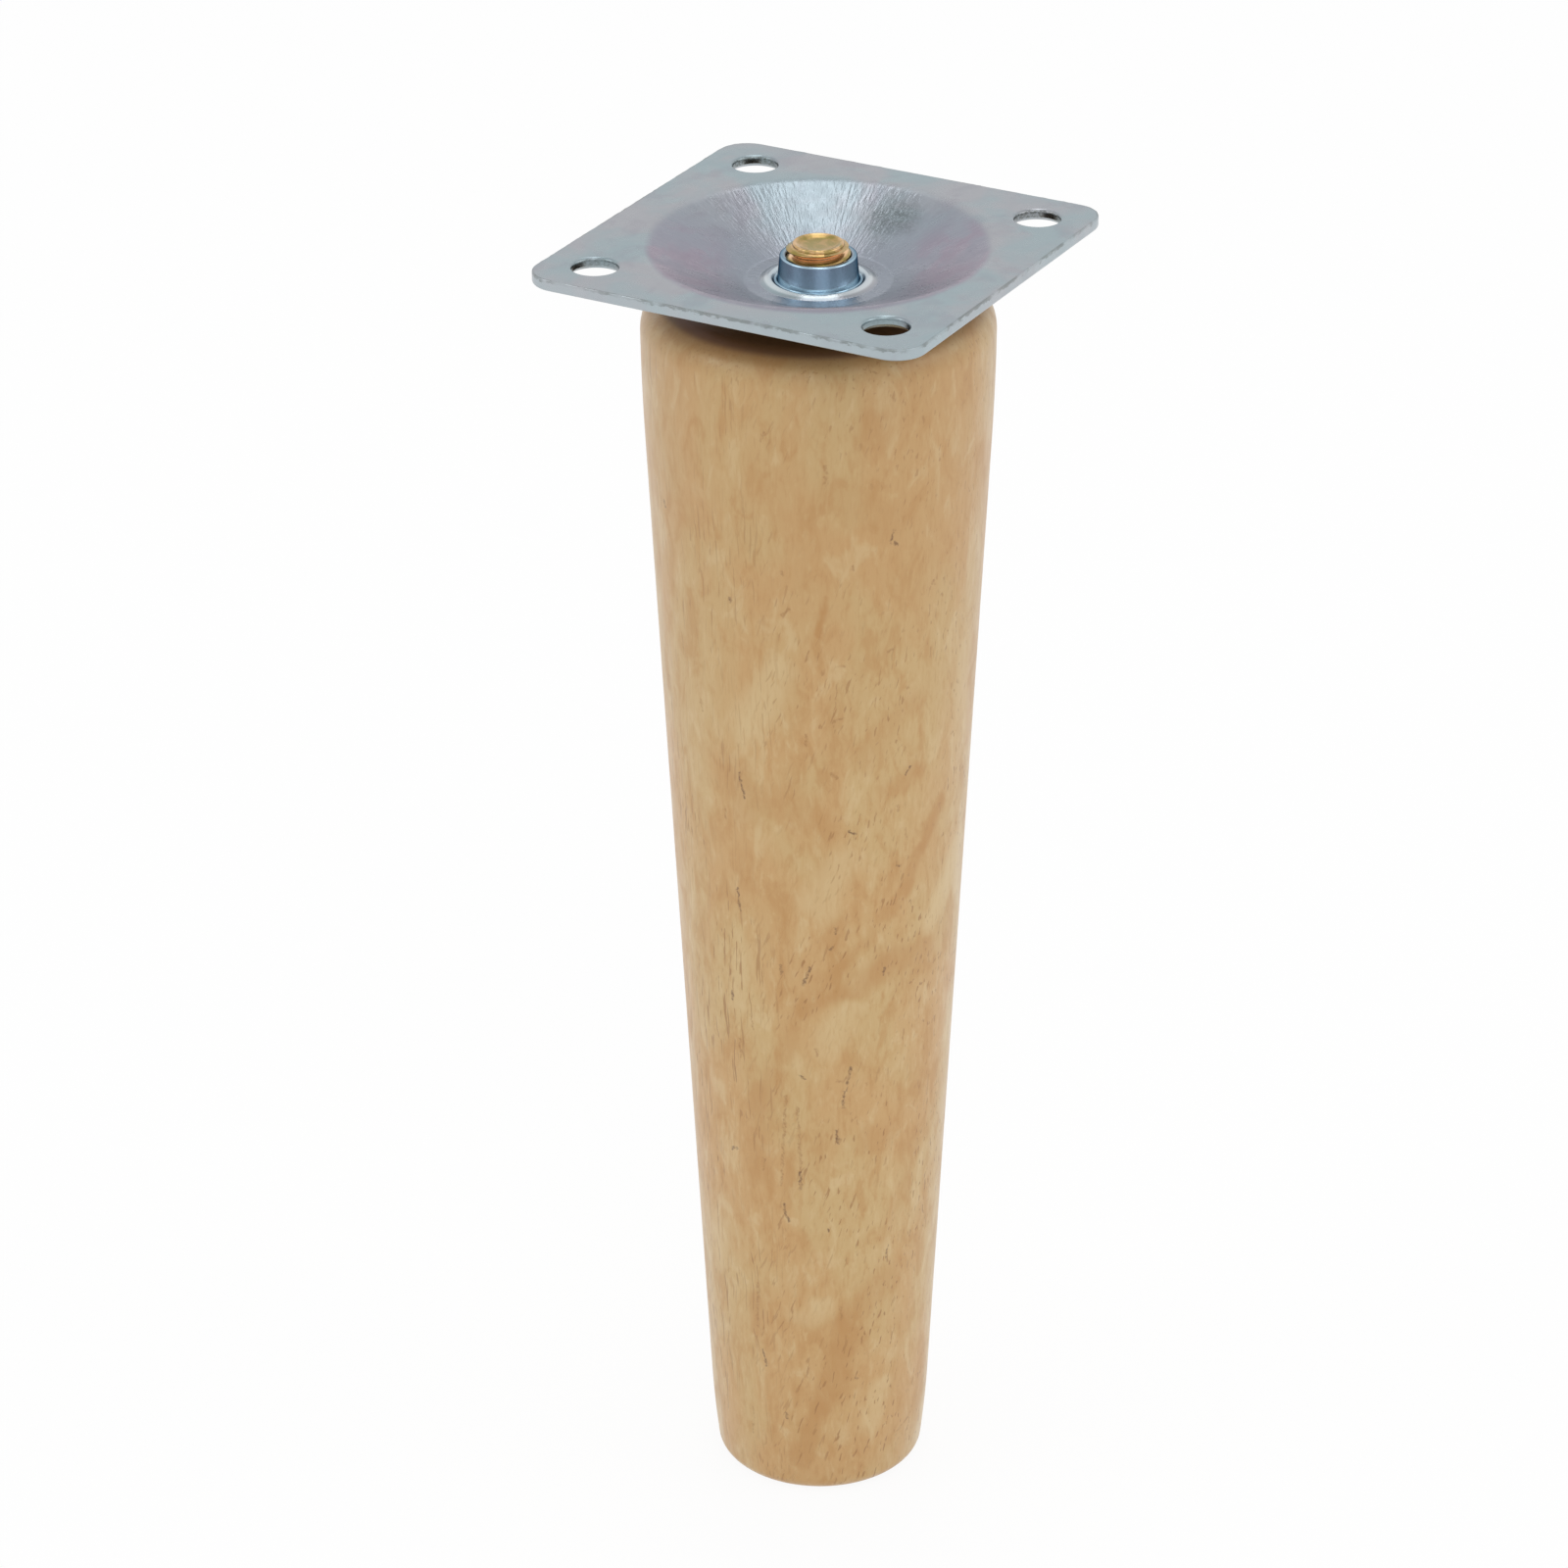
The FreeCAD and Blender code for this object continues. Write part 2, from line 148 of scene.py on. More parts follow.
class PressedPlateSettings(bpy.types.PropertyGroup):
    """Sizes and colours of the mounting plate."""
    sheet_thickness: length("Sheet thickness", "Steel sheet", 1.5)
    rim_width: length("Rim width", "Narrowest flat rim beside the dish", 5.1)
    mouth_bend: length("Mouth bend", "Inside radius of the bend from the rim into the dish", 3.0)
    floor_bend: length("Floor bend", "Inside radius of the bend from the wall to the floor", 1.5)
    ring_width: length("Ring width", "Flat ring of the floor outside the coined step", 2.3)
    seat_width: length("Seat width", "Coined seat around the collar", 1.8)
    bead_radius: length("Bead radius", "Crest of the raised bead around the collar", 5.9)
    bead_inner: length("Bead inner side", "Steep side of the bead, towards the collar", 0.45)
    bead_outer: length("Bead outer side", "Sloping side of the bead, away from the collar", 1.4)
    bead_height: length("Bead height", "Bead above the floor outside it", 0.54)
    bead_round: length("Bead round", "Round over the crest of the bead", 0.45)
    bead_foot_round: length("Bead foot round", "Round at the inner foot of the bead", 0.22)
    step_height: length("Step height", "Coined step of the floor", 0.2)
    bore_radius: length("Collar bore", "Bore of the collar, over the thread", 4.05)
    collar_wall: length("Collar wall", "Wall of the collar at its top", 0.72)
    collar_draft: length("Collar draft", "How much further out the collar stands at its foot", 0.33)
    collar_rise: length("Collar rise", "Collar above the seat", 3.6)
    collar_foot_round: length("Collar foot round", "Fillet at the collar's foot", 0.2)
    collar_lip_round: length("Collar lip round", "Round of the collar's top edge", 0.26)
    lead_in_round: length("Lead-in round", "Round of the collar's mouth", 0.2)
    bore_entry_round: length("Bore entry round", "Drawing radius under the collar", 0.8)
    hole_pitch: length("Hole pitch", "Screw hole to screw hole", 40.0)
    hole_radius: length("Hole radius", "Screw hole", 2.85)
    hole_roll: length("Hole roll", "Die roll around the top of a screw hole", 0.42)
    hole_flare: length("Hole flare", "Break-out around the bottom of a screw hole", 0.5)
    edge_break: length("Edge break", "Broken upper edge of the outline", 0.14)
    edge_roll: length("Edge roll", "Die roll along the lower edge of the outline", 0.35)
    edge_burr: length("Edge burr", "Unevenness of the upper edge", 0.04)
    burr_steps: IntProperty(name="Burr steps", description="Cuts along each side", default=80, min=1)
    corner_radius: length("Corner radius", "Rounded corners of the plate", 4.0)
    around: IntProperty(name="Steps around", description="Faces around the dish", default=160, min=16)
    zinc: colour("Zinc", "Plating in the open", 0.371, 0.380, 0.408)
    sea: colour("Sea tint", "Greenish blue tint of the plating", 0.314, 0.391, 0.420)
    # The mauve tint is a pinkish tint and also painted shade, darker than the plating on the dish walls
    mauve_and_shade: colour("Mauve tint", "Pinkish tint of the drawn wall", 0.240, 0.216, 0.276)
    # The steel tint is also painted shade: the dish walls are darker where they reflect the dimmer room
    steel_and_shade: colour("Steel tint", "Darker plating of the drawn wall", 0.290, 0.320, 0.372)
    burnish: colour("Burnish", "Bright, rubbed plating", 0.740, 0.800, 0.830)
    rose: colour("Rose tint", "Pink tint at the sides of the dish", 0.330, 0.255, 0.322)
    tarnish: colour("Tarnish", "Dull stain in the dish", 0.145, 0.172, 0.178)
    azure: colour("Azure tint", "Blue tint of the collar", 0.410, 0.560, 0.670)
    smoke: colour("Smoke", "What the collar's sides reflect at a grazing angle", 0.080, 0.115, 0.165)
    fracture: colour("Fracture", "Torn edge of the sheet", 0.090, 0.095, 0.075)


class HangerBoltSettings(bpy.types.PropertyGroup):
    """Sizes and colours of the hanger bolt."""
    crest_radius: length("Crest radius", "Machine thread, over its crests", 4.0)
    pitch: length("Pitch", "Machine thread, crest to crest", 1.25)
    crest_below_end: length("Crest below end", "Depth of the last crest below the end, on the +X side", 0.22)
    end_radius: length("End radius", "Plain end above the thread", 3.21)
    end_height: length("End height", "Plain end, down to the start of the thread", 0.34)
    end_lip: length("End lip", "Rounded lip around the end face", 0.26)
    end_cup_width: length("End cup width", "Sloping side of the hollow in the end face", 0.65)
    end_cup_depth: length("End cup depth", "Hollow of the end face", 0.28)
    screw_radius: length("Screw radius", "Wood screw end, over its crests", 3.5)
    screw_pitch: length("Screw pitch", "Wood thread, crest to crest", 2.8)
    point_length: length("Point length", "Tapered point of the wood screw end", 4.0)
    point_radius: length("Point radius", "Blunt end of that point", 1.2)
    steps_per_turn: IntProperty(name="Steps a turn", description="Faces in one turn", default=72, min=12)
    olive: colour("Olive", "Yellow passivated zinc, greenish", 0.325, 0.250, 0.072)
    gold: colour("Gold", "Yellow passivated zinc, golden", 0.450, 0.300, 0.115)
    # The reddish tint is made bright as painted light, for the thread roots in the collar's shade
    copper_and_light: colour("Copper", "Yellow passivated zinc, reddish", 0.880, 0.560, 0.320)


class StageSettings(bpy.types.PropertyGroup):
    """Camera, floor and light."""
    camera_place: FloatVectorProperty(
        name="Camera place", description="Where the camera stands", default=(0.30776, -0.56533, 0.42569),
        size=3, subtype="TRANSLATION", unit="LENGTH")
    camera_azimuth: angle("Camera azimuth", "Turn of the camera about the leg", 28.965)
    camera_pitch: angle("Camera pitch", "How far the camera looks down", 26.856)
    camera_roll: angle("Camera roll", "Tilt of the picture, clockwise", 0.256)
    camera_lens: FloatProperty(name="Camera lens", description="Focal length on a 36 mm sensor", default=128.82)
    floor_width: FloatProperty(name="Floor width", description="Side of the floor", default=8.0, unit="LENGTH")
    room_light: share("Room light", "Strength of the even light from the room", 0.72)
    room_gleam: share("Room gleam", "Strength of the room as metal reflects it", 0.95)
    ceiling_gleam: share("Ceiling gleam", "Strength of the ceiling as metal reflects it", 0.70)


# Modelling

def start_fresh():
    """Object mode with nothing selected, as the loaded parts leave it otherwise."""
    if bpy.context.object and bpy.context.object.mode != "OBJECT":
        bpy.ops.object.mode_set(mode="OBJECT")
    bpy.ops.object.select_all(action="DESELECT")


def take_up(piece):
    """Make one piece the only one that is selected, and active."""
    start_fresh()
    bpy.context.view_layer.objects.active = piece
    piece.select_set(True)


def named(name):
    """Name the new active object and put its place into its mesh."""
    piece = bpy.context.active_object
    piece.name = name
    piece.data.name = name
    bpy.ops.object.transform_apply(location=True, rotation=True, scale=True)
    return piece


def draw_outline(name, points):
    """Chain of vertices through (across, up) points in the XZ plane, left in edit mode."""
    start_fresh()
    across, up = points[0]
    bpy.ops.mesh.primitive_plane_add(size=MM, location=(across, 0, up))
    piece = named(name)
    bpy.ops.object.mode_set(mode="EDIT")
    bpy.ops.mesh.select_mode(type="VERT")
    bpy.ops.mesh.select_all(action="SELECT")
    bpy.ops.mesh.merge(type="CENTER")
    for here, there in zip(points, points[1:]):
        step = (there[0] - here[0], 0, there[1] - here[1])
        bpy.ops.mesh.extrude_vertices_move(TRANSFORM_OT_translate={"value": step})
    return piece


def close_mesh(merge_distance):
    """Merge doubles and point the faces outwards, then back to object mode."""
    bpy.ops.mesh.select_all(action="SELECT")
    bpy.ops.mesh.remove_doubles(threshold=merge_distance)
    bpy.ops.mesh.normals_make_consistent(inside=False)
    bpy.ops.object.mode_set(mode="OBJECT")


def lathe(name, points, around):
    """Outline turned once about the leg's axis."""
    piece = draw_outline(name, points)
    bpy.ops.mesh.select_all(action="SELECT")
    bpy.ops.mesh.spin(steps=around, angle=FULL_TURN, center=(0, 0, 0), axis=(0, 0, 1))
    close_mesh(MERGED)
    return piece


def arc(centre, radius, start, end, pieces):
    """Points along an arc from one angle to another, in radians, both ends included."""
    turn = (end - start) / pieces
    angles = [start + turn * count for count in range(pieces + 1)]
    return [(centre[0] + radius * math.cos(a), centre[1] + radius * math.sin(a)) for a in angles]


def rounded(corners, finest=math.radians(9)):
    """Closed outline through (across, up, radius) corners, each rounded by its radius."""
    points = []
    following = corners[1:] + corners[:1]
    for before, corner, after in zip(corners[-1:] + corners[:-1], corners, following):
        here = Vector(corner[:2])
        to_before = (Vector(before[:2]) - here).normalized()
        to_after = (Vector(after[:2]) - here).normalized()
        turn = math.pi - to_before.angle(to_after)
        radius = corner[2]
        if radius == 0 or turn < finest / 10:
            points.append(tuple(here))
            continue
        reach = radius * math.tan(turn / 2)
        centre = here + (to_before + to_after).normalized() * math.hypot(radius, reach)
        first = here + to_before * reach - centre
        last = here + to_after * reach - centre
        sweep = first.angle_signed(last)
        pieces = max(2, math.ceil(turn / finest))
        start = math.atan2(first.y, first.x)
        points += arc(centre, radius, start, start - sweep, pieces)
    return points


def apply_modifier(piece, kind, **settings):
    """Give the active piece a modifier with its settings, and apply it."""
    bpy.ops.object.modifier_add(type=kind)
    modifier = piece.modifiers[-1]
    for key, value in settings.items():
        setattr(modifier, key, value)
    bpy.ops.object.modifier_apply(modifier=modifier.name)


def apply_boolean(piece, tool, operation):
    """Cut, join or trim a piece with a tool piece, which is used up."""
    take_up(piece)
    apply_modifier(piece, "BOOLEAN", operation=operation, solver="EXACT", object=tool)
    bpy.data.objects.remove(tool, do_unlink=True)


def clear_mesh_selection(piece, kind):
    """Object mode, with nothing selected in the piece's mesh."""
    take_up(piece)
    bpy.ops.object.mode_set(mode="EDIT")
    bpy.ops.mesh.select_mode(type=kind)
    bpy.ops.mesh.select_all(action="DESELECT")
    bpy.ops.object.mode_set(mode="OBJECT")


def select_edges(piece, wanted):
    """Edit mode with just the edges selected whose ends pass the test."""
    clear_mesh_selection(piece, "EDGE")
    vertices = piece.data.vertices
    for edge in piece.data.edges:
        first, last = (vertices[number].co for number in edge.vertices)
        edge.select = wanted(first, last)
    bpy.ops.object.mode_set(mode="EDIT")


def finish_surface(piece, sharp_angle):
    """Smooth shading with crisp edges, and flats that stay flat."""
    take_up(piece)
    bpy.ops.object.shade_smooth_by_angle(angle=sharp_angle)
    apply_modifier(piece, "WEIGHTED_NORMAL", keep_sharp=True)


# Turned leg

def leg_end(joint, along, level, crown_radius, edge_radius):
    """Outline of one end of the leg, from its flat face to the taper's joint."""
    inward = Vector((-along.y, along.x))
    crown_centre = joint + inward * crown_radius
    towards_middle = 1 if joint.y > level else -1
    edge_height = level + towards_middle * edge_radius
    run = math.sqrt((crown_radius - edge_radius) ** 2 - (edge_height - crown_centre.y) ** 2)
    edge_centre = Vector((crown_centre.x + run, edge_height))
    meeting = (edge_centre - crown_centre).normalized()
    meeting_angle = math.atan2(meeting.y, meeting.x)
    joint_angle = math.atan2(joint.y - crown_centre.y, joint.x - crown_centre.x)
    edge = arc(edge_centre, edge_radius, -towards_middle * math.pi / 2, meeting_angle, pieces=10)
    crown = arc(crown_centre, crown_radius, meeting_angle, joint_angle, pieces=6)
    return edge + crown[1:]


def leg_outline(sizes):
    """Half section of the leg, from the middle of its foot round to the bottom of its bore."""
    low = Vector((sizes.taper_foot_radius, leg_low.z + sizes.foot_crown_height))
    high = Vector((sizes.taper_top_radius, leg_high.z - sizes.top_crown_height))
    along = (high - low).normalized()
    foot = leg_end(low, along, leg_low.z, sizes.foot_crown_radius, sizes.foot_edge_radius)
    top = leg_end(high, along, leg_high.z, sizes.top_crown_radius, sizes.top_edge_radius)
    rings = 18
    taper = [tuple(low.lerp(high, count / rings)) for count in range(1, rings)]
    face_rings = 4
    foot_face = [(foot[0][0] * count / face_rings, leg_low.z) for count in range(face_rings)]
    bottom = bolt_low.z - sizes.spare_depth
    top_face_ring = sizes.bore_radius * 2.5
    bore = [
        (top_face_ring, leg_high.z),
        (sizes.bore_radius, leg_high.z),
        (sizes.bore_radius, bottom + sizes.point_length),
        (sizes.point_radius, bottom),
        (0.0, bottom),
    ]
    return foot_face + foot + taper + top[::-1] + bore


def make_turned_leg(sizes):
    leg = lathe("turned_leg", leg_outline(sizes), sizes.around)
    finish_surface(leg, sharp_angle=math.radians(35))
    return leg


# Pressed plate

def sheet_corners(sizes):
    """Section of the pressed sheet: its bends, as (across, up, radius) corners."""
    base = plate_low.z
    rim_top = plate_high.z
    sheet = sizes.sheet_thickness
    seat = base + sheet
    ring = seat + sizes.step_height
    collar_top = seat + sizes.collar_rise
    collar_top_radius = sizes.bore_radius + sizes.collar_wall
    collar_foot_radius = collar_top_radius + sizes.collar_draft
    step_radius = collar_foot_radius + sizes.seat_width
    floor_radius = step_radius + sizes.ring_width
    mouth_radius = plate_high.x - sizes.rim_width
    blank_radius = math.hypot(plate_high.x, plate_high.y) + sheet
    run = mouth_radius - floor_radius
    rise = rim_top - ring
    under_mouth = mouth_radius + sheet * rise / (math.hypot(run, rise) + run)
    under_floor = under_mouth - (rim_top - sheet - base) * run / rise
    bead_top = ring + sizes.bead_height
    return [
        (sizes.bore_radius, base, sizes.bore_entry_round),
        (sizes.bore_radius, collar_top, sizes.lead_in_round),
        (collar_top_radius, collar_top, sizes.collar_lip_round),
        (collar_foot_radius, ring, sizes.collar_foot_round),
        (sizes.bead_radius - sizes.bead_inner, ring, sizes.bead_foot_round),
        (sizes.bead_radius, bead_top, sizes.bead_round),
        (sizes.bead_radius + sizes.bead_outer, ring, sizes.bead_round),
        (floor_radius, ring, sizes.floor_bend),
        (mouth_radius, rim_top, sizes.mouth_bend + sheet),
        (blank_radius, rim_top, 0),
        (blank_radius, rim_top - sheet, 0),
        (under_mouth, rim_top - sheet, sizes.mouth_bend),
        (under_floor, base, sizes.floor_bend + sheet),
    ]


def make_outline_block(sizes):
    """Block with the plate's outline: rounded corners, a rolled lower edge and a burred upper one."""
    top = plate_high.z
    bottom = top - sizes.sheet_thickness
    middle = (top + bottom) / 2
    start_fresh()
    bpy.ops.mesh.primitive_cube_add(size=1)
    block = bpy.context.active_object
    block.scale = (plate_high.x - plate_low.x, plate_high.y - plate_low.y, top - bottom)
    block.location = (0, 0, middle)
    named("outline_block")
    select_edges(block, lambda first, last: abs(first.z - last.z) > MM)
    bpy.ops.mesh.bevel(offset=sizes.corner_radius, segments=12, affect="EDGES")
    select_edges(block, lambda first, last: max(first.z, last.z) < bottom + LEVEL)
    bpy.ops.mesh.bevel(offset=sizes.edge_roll, segments=4, affect="EDGES")
    select_edges(block, lambda first, last: min(first.z, last.z) > top - LEVEL and (last - first).length > MM)
    bpy.ops.mesh.subdivide(number_cuts=sizes.burr_steps)
    select_edges(block, lambda first, last: min(first.z, last.z) > top - LEVEL)
    bpy.ops.mesh.bevel(offset=sizes.edge_break, segments=2, affect="EDGES")
    roughen_level(block, top - sizes.edge_break * (1 - math.sqrt(0.5)), sizes.edge_burr)

    below = plate_low.z - MM
    reach = plate_high.x - 2 * MM
    room = [(0, below), (reach, below), (reach, middle), (0, middle)]
    apply_boolean(block, lathe("dish_room", room, around=48), "UNION")
    return block


def roughen_level(piece, level, amount):
    """Move the vertices at one height about at random."""
    clear_mesh_selection(piece, "VERT")
    for vertex in piece.data.vertices:
        vertex.select = abs(vertex.co.z - level) < LEVEL
    bpy.ops.object.mode_set(mode="EDIT")
    bpy.ops.transform.vertex_random(offset=amount, seed=11)
    bpy.ops.object.mode_set(mode="OBJECT")


def make_hole_punch(sizes, across, back):
    """Punch for one screw hole: rolled in at the top, broken out at the bottom."""
    roll = sizes.hole_roll
    flare = sizes.hole_flare
    top = plate_high.z
    bottom = top - sizes.sheet_thickness
    rolled = arc((sizes.hole_radius + roll, top - roll), roll, math.pi, math.pi / 2, pieces=5)
    above = [(sizes.hole_radius + roll, top + MM), (0, top + MM)]
    broken_out = [(0, bottom - flare), (sizes.hole_radius + 2 * flare, bottom - flare)]
    wall_end = [(sizes.hole_radius, bottom + flare)]
    points = broken_out + wall_end + rolled + above
    punch = lathe("hole_punch", points, around=56)
    bpy.ops.object.mode_set(mode="EDIT")
    bpy.ops.mesh.select_all(action="SELECT")
    bpy.ops.transform.translate(value=(across, back, 0))
    bpy.ops.object.mode_set(mode="OBJECT")
    return punch


def make_pressed_plate(sizes):
    corners = sheet_corners(sizes)
    outline = rounded(corners)
    plate = lathe("pressed_plate", outline + outline[:1], sizes.around)
    apply_boolean(plate, make_outline_block(sizes), "INTERSECT")
    half_pitch = sizes.hole_pitch / 2
    for across in (-half_pitch, half_pitch):
        for back in (-half_pitch, half_pitch):
            apply_boolean(plate, make_hole_punch(sizes, across, back), "DIFFERENCE")
    finish_surface(plate, sharp_angle=math.radians(40))
    return plate


# Hanger bolt

def make_thread(name, thread, crest, low, high, steps):
    """Right-hand thread between two heights, with both ends cut off square.

    thread is one turn of its outline, as (radius, up) points that climb by the pitch.
    crest is the height at which a crest passes on the +X side.
    """
    pitch = thread[-1][1] - thread[0][1]
    crest_up = max(thread)[1]
    turns_below = math.ceil((crest - low) / pitch) + 2
    start = crest - crest_up - turns_below * pitch
    turns = math.ceil((high - start) / pitch) + 1
    piece = draw_outline(name, [(radius, start + up) for radius, up in thread])
    bpy.ops.object.mode_set(mode="OBJECT")
    apply_modifier(
        piece, "SCREW", axis="Z", screw_offset=pitch, iterations=turns, steps=steps, render_steps=steps)
    bpy.ops.object.mode_set(mode="EDIT")
    bpy.ops.mesh.select_all(action="SELECT")
    bpy.ops.mesh.remove_doubles(threshold=MERGED)
    for height, above in ((low, False), (high, True)):
        bpy.ops.mesh.select_all(action="SELECT")
        bpy.ops.mesh.bisect(
            plane_co=(0, 0, height), plane_no=(0, 0, 1), use_fill=True,
            clear_inner=not above, clear_outer=above, threshold=MM / 10000)
    close_mesh(MM / 500)
    return piece


def machine_thread(sizes):
    """One turn of the metric profile, its crest and root slightly rounded."""
    pitch = sizes.pitch
    depth = METRIC_DEPTH * pitch
    root = sizes.crest_radius - depth
    soft = 0.06 * depth
    shape = [
        (0.0, root), (0.20, root), (0.25, root + soft), (0.34, root + depth * 0.3), (0.47, root + depth * 0.7),
        (0.54, root + depth - soft), (0.575, root + depth), (0.655, root + depth), (0.69, root + depth - soft),
        (0.78, root + depth * 0.7), (0.91, root + depth * 0.3), (0.97, root + soft), (1.0, root),
    ]
    return [(radius, share_up * pitch) for share_up, radius in shape]


def wood_thread(sizes):
    """One turn of the coarse wood thread: a wide root and a sharp crest."""
    pitch = sizes.screw_pitch
    root = sizes.screw_radius * WOOD_ROOT
    shape = [(0.0, root), (0.30, root), (0.36, root * 1.03), (0.48, sizes.screw_radius),
             (0.52, sizes.screw_radius), (0.64, root * 1.03), (0.70, root), (1.0, root)]
    return [(radius, share_up * pitch) for share_up, radius in shape]


def bolt_envelope(sizes):
    """Half section that both threads are trimmed to: point, shank, plain and cupped end."""
    seat = plate_low.z
    end = bolt_high.z
    lip = sizes.end_lip
    face = sizes.end_radius - lip
    lip_arc = arc((face, end - lip), lip, 0, math.radians(112), pieces=7)
    bottom = end - sizes.end_cup_depth
    hollow = face - sizes.end_cup_width
    cup = [(hollow, bottom), (hollow - 0.3 * MM, bottom - 0.05 * MM),
           (hollow / 2, bottom - 0.08 * MM), (0.0, bottom - 0.09 * MM)]
    shoulder = end - sizes.end_height
    over_screw = sizes.screw_radius + MM / 50
    over_crest = sizes.crest_radius + MM / 50
    below_seat = seat - MM / 10
    ledge = [(over_crest, shoulder - 0.06 * MM), (sizes.end_radius + 0.03 * MM, shoulder)]
    return [
        (0.0, bolt_low.z),
        (sizes.point_radius, bolt_low.z),
        (over_screw, bolt_low.z + sizes.point_length),
        (over_screw, below_seat),
        (over_crest, below_seat),
    ] + ledge + lip_arc + cup


def make_hanger_bolt(sizes):
    seat = plate_low.z
    overlap = 0.4 * MM
    steps = sizes.steps_per_turn
    last_crest = bolt_high.z - sizes.crest_below_end
    bolt = make_thread(
        "hanger_bolt_threaded", machine_thread(sizes), last_crest, seat, bolt_high.z + MM, steps)
    wood_end = make_thread("wood_end", wood_thread(sizes), seat, bolt_low.z - MM, seat + overlap, steps)
    apply_boolean(bolt, wood_end, "UNION")
    envelope = lathe("bolt_envelope", bolt_envelope(sizes), around=96)
    apply_boolean(bolt, envelope, "INTERSECT")
    finish_surface(bolt, sharp_angle=math.radians(50))
    return bolt


# Finishes

def set_inputs(node, inputs):
    """Give a node its inputs, as values or as other nodes' sockets."""
    for key, value in inputs.items():
        if isinstance(value, bpy.types.NodeSocket):
            node.id_data.links.new(value, node.inputs[key])
        else:
            node.inputs[key].default_value = value


def add_node(tree, kind, inputs=None, **settings):
    """Shader node with its settings and its inputs."""
    made = tree.nodes.new("ShaderNode" + kind)
    for key, value in settings.items():
        setattr(made, key, value)
    set_inputs(made, inputs or {})
    return made


def follow(kind, inputs, **settings):
    """Shader node in the tree of the sockets that it is given."""
    sockets = [value for value in inputs.values() if isinstance(value, bpy.types.NodeSocket)]
    return add_node(sockets[0].id_data, kind, inputs, **settings)


def new_finish(name):
    """Material with its shader and its object coordinates."""
    material = bpy.data.materials.new(name)
    material.use_nodes = True
    tree = material.node_tree
    return material, tree.nodes["Principled BSDF"], add_node(tree, "TexCoord").outputs["Object"]


def wear(piece, material):
    piece.data.materials.clear()
    piece.data.materials.append(material)


def turned(place, rotation):
    return follow("Mapping", {"Vector": place, "Rotation": rotation}).outputs["Vector"]


def stretched(place, scale):
    return follow("Mapping", {"Vector": place, "Scale": scale}).outputs["Vector"]


def noise(place, scale, detail=3.0, rough=0.5, distortion=0.0, output="Fac"):
    inputs = {"Vector": place, "Scale": scale, "Detail": detail, "Roughness": rough, "Distortion": distortion}
    return follow("TexNoise", inputs).outputs[output]


def graded(value, low, high, low_to=0.0, high_to=1.0):
    """Smooth step of a value, from one range to another."""
    inputs = {"Value": value, "From Min": low, "From Max": high, "To Min": low_to, "To Max": high_to}
    return follow("MapRange", inputs, interpolation_type="SMOOTHSTEP").outputs["Result"]


def maths(operation, *values):
    return follow("Math", dict(enumerate(values)), operation=operation).outputs[0]


def times(first, *others):
    """Product of two or more values."""
    for other in others:
        first = maths("MULTIPLY", first, other)
    return first


def vector_maths(operation, first, second=(0, 0, 0)):
    made = follow("VectorMath", {0: first, 1: second}, operation=operation)
    return made.outputs["Value" if operation in ("DOT_PRODUCT", "LENGTH") else "Vector"]


def scaled(vector, amount):
    return follow("VectorMath", {0: vector, "Scale": amount}, operation="SCALE").outputs["Vector"]


def blend_colours(amount, first, second):
    return follow("Mix", {0: amount, 6: first, 7: second}, data_type="RGBA").outputs[2]


def blend_values(amount, first, second):
    return follow("Mix", {0: amount, 2: first, 3: second}).outputs[0]


def bumped(height, strength, distance, **settings):
    inputs = {"Height": height, "Strength": strength, "Distance": distance}
    return follow("Bump", inputs, **settings).outputs["Normal"]


def height_in(place):
    return follow("SeparateXYZ", {0: place}).outputs["Z"]


def from_axis(place):
    """Distance from the leg's axis."""
    return vector_maths("LENGTH", vector_maths("MULTIPLY", place, (1, 1, 0)))


def on_leg(degrees, height):
    """Point near the leg's surface, at an angle around it and a height in millimetres."""
    share_up = (height * MM - leg_low.z) / (leg_high.z - leg_low.z)
    radius = MARKED_FOOT_RADIUS + share_up * (MARKED_TOP_RADIUS - MARKED_FOOT_RADIUS)
    around = math.radians(degrees)
    return Vector((radius * math.cos(around), radius * math.sin(around), height * MM))


def distance_to_line(place, start, end):
    line = end - start
    from_start = vector_maths("SUBTRACT", place, tuple(start))
    along = vector_maths("DOT_PRODUCT", from_start, tuple(line / line.length_squared))
    clamped = follow("Clamp", {"Value": along}).outputs[0]
    apart = vector_maths("SUBTRACT", from_start, scaled(tuple(line), clamped))
    return vector_maths("LENGTH", apart)


def wavering(place, scale, amount):
    """Place pushed about by noise, so that what is drawn with it gets ragged edges."""
    push = vector_maths("SUBTRACT", noise(place, scale, output="Color"), (0.5, 0.5, 0.5))
    return vector_maths("ADD", place, scaled(push, amount * MM))


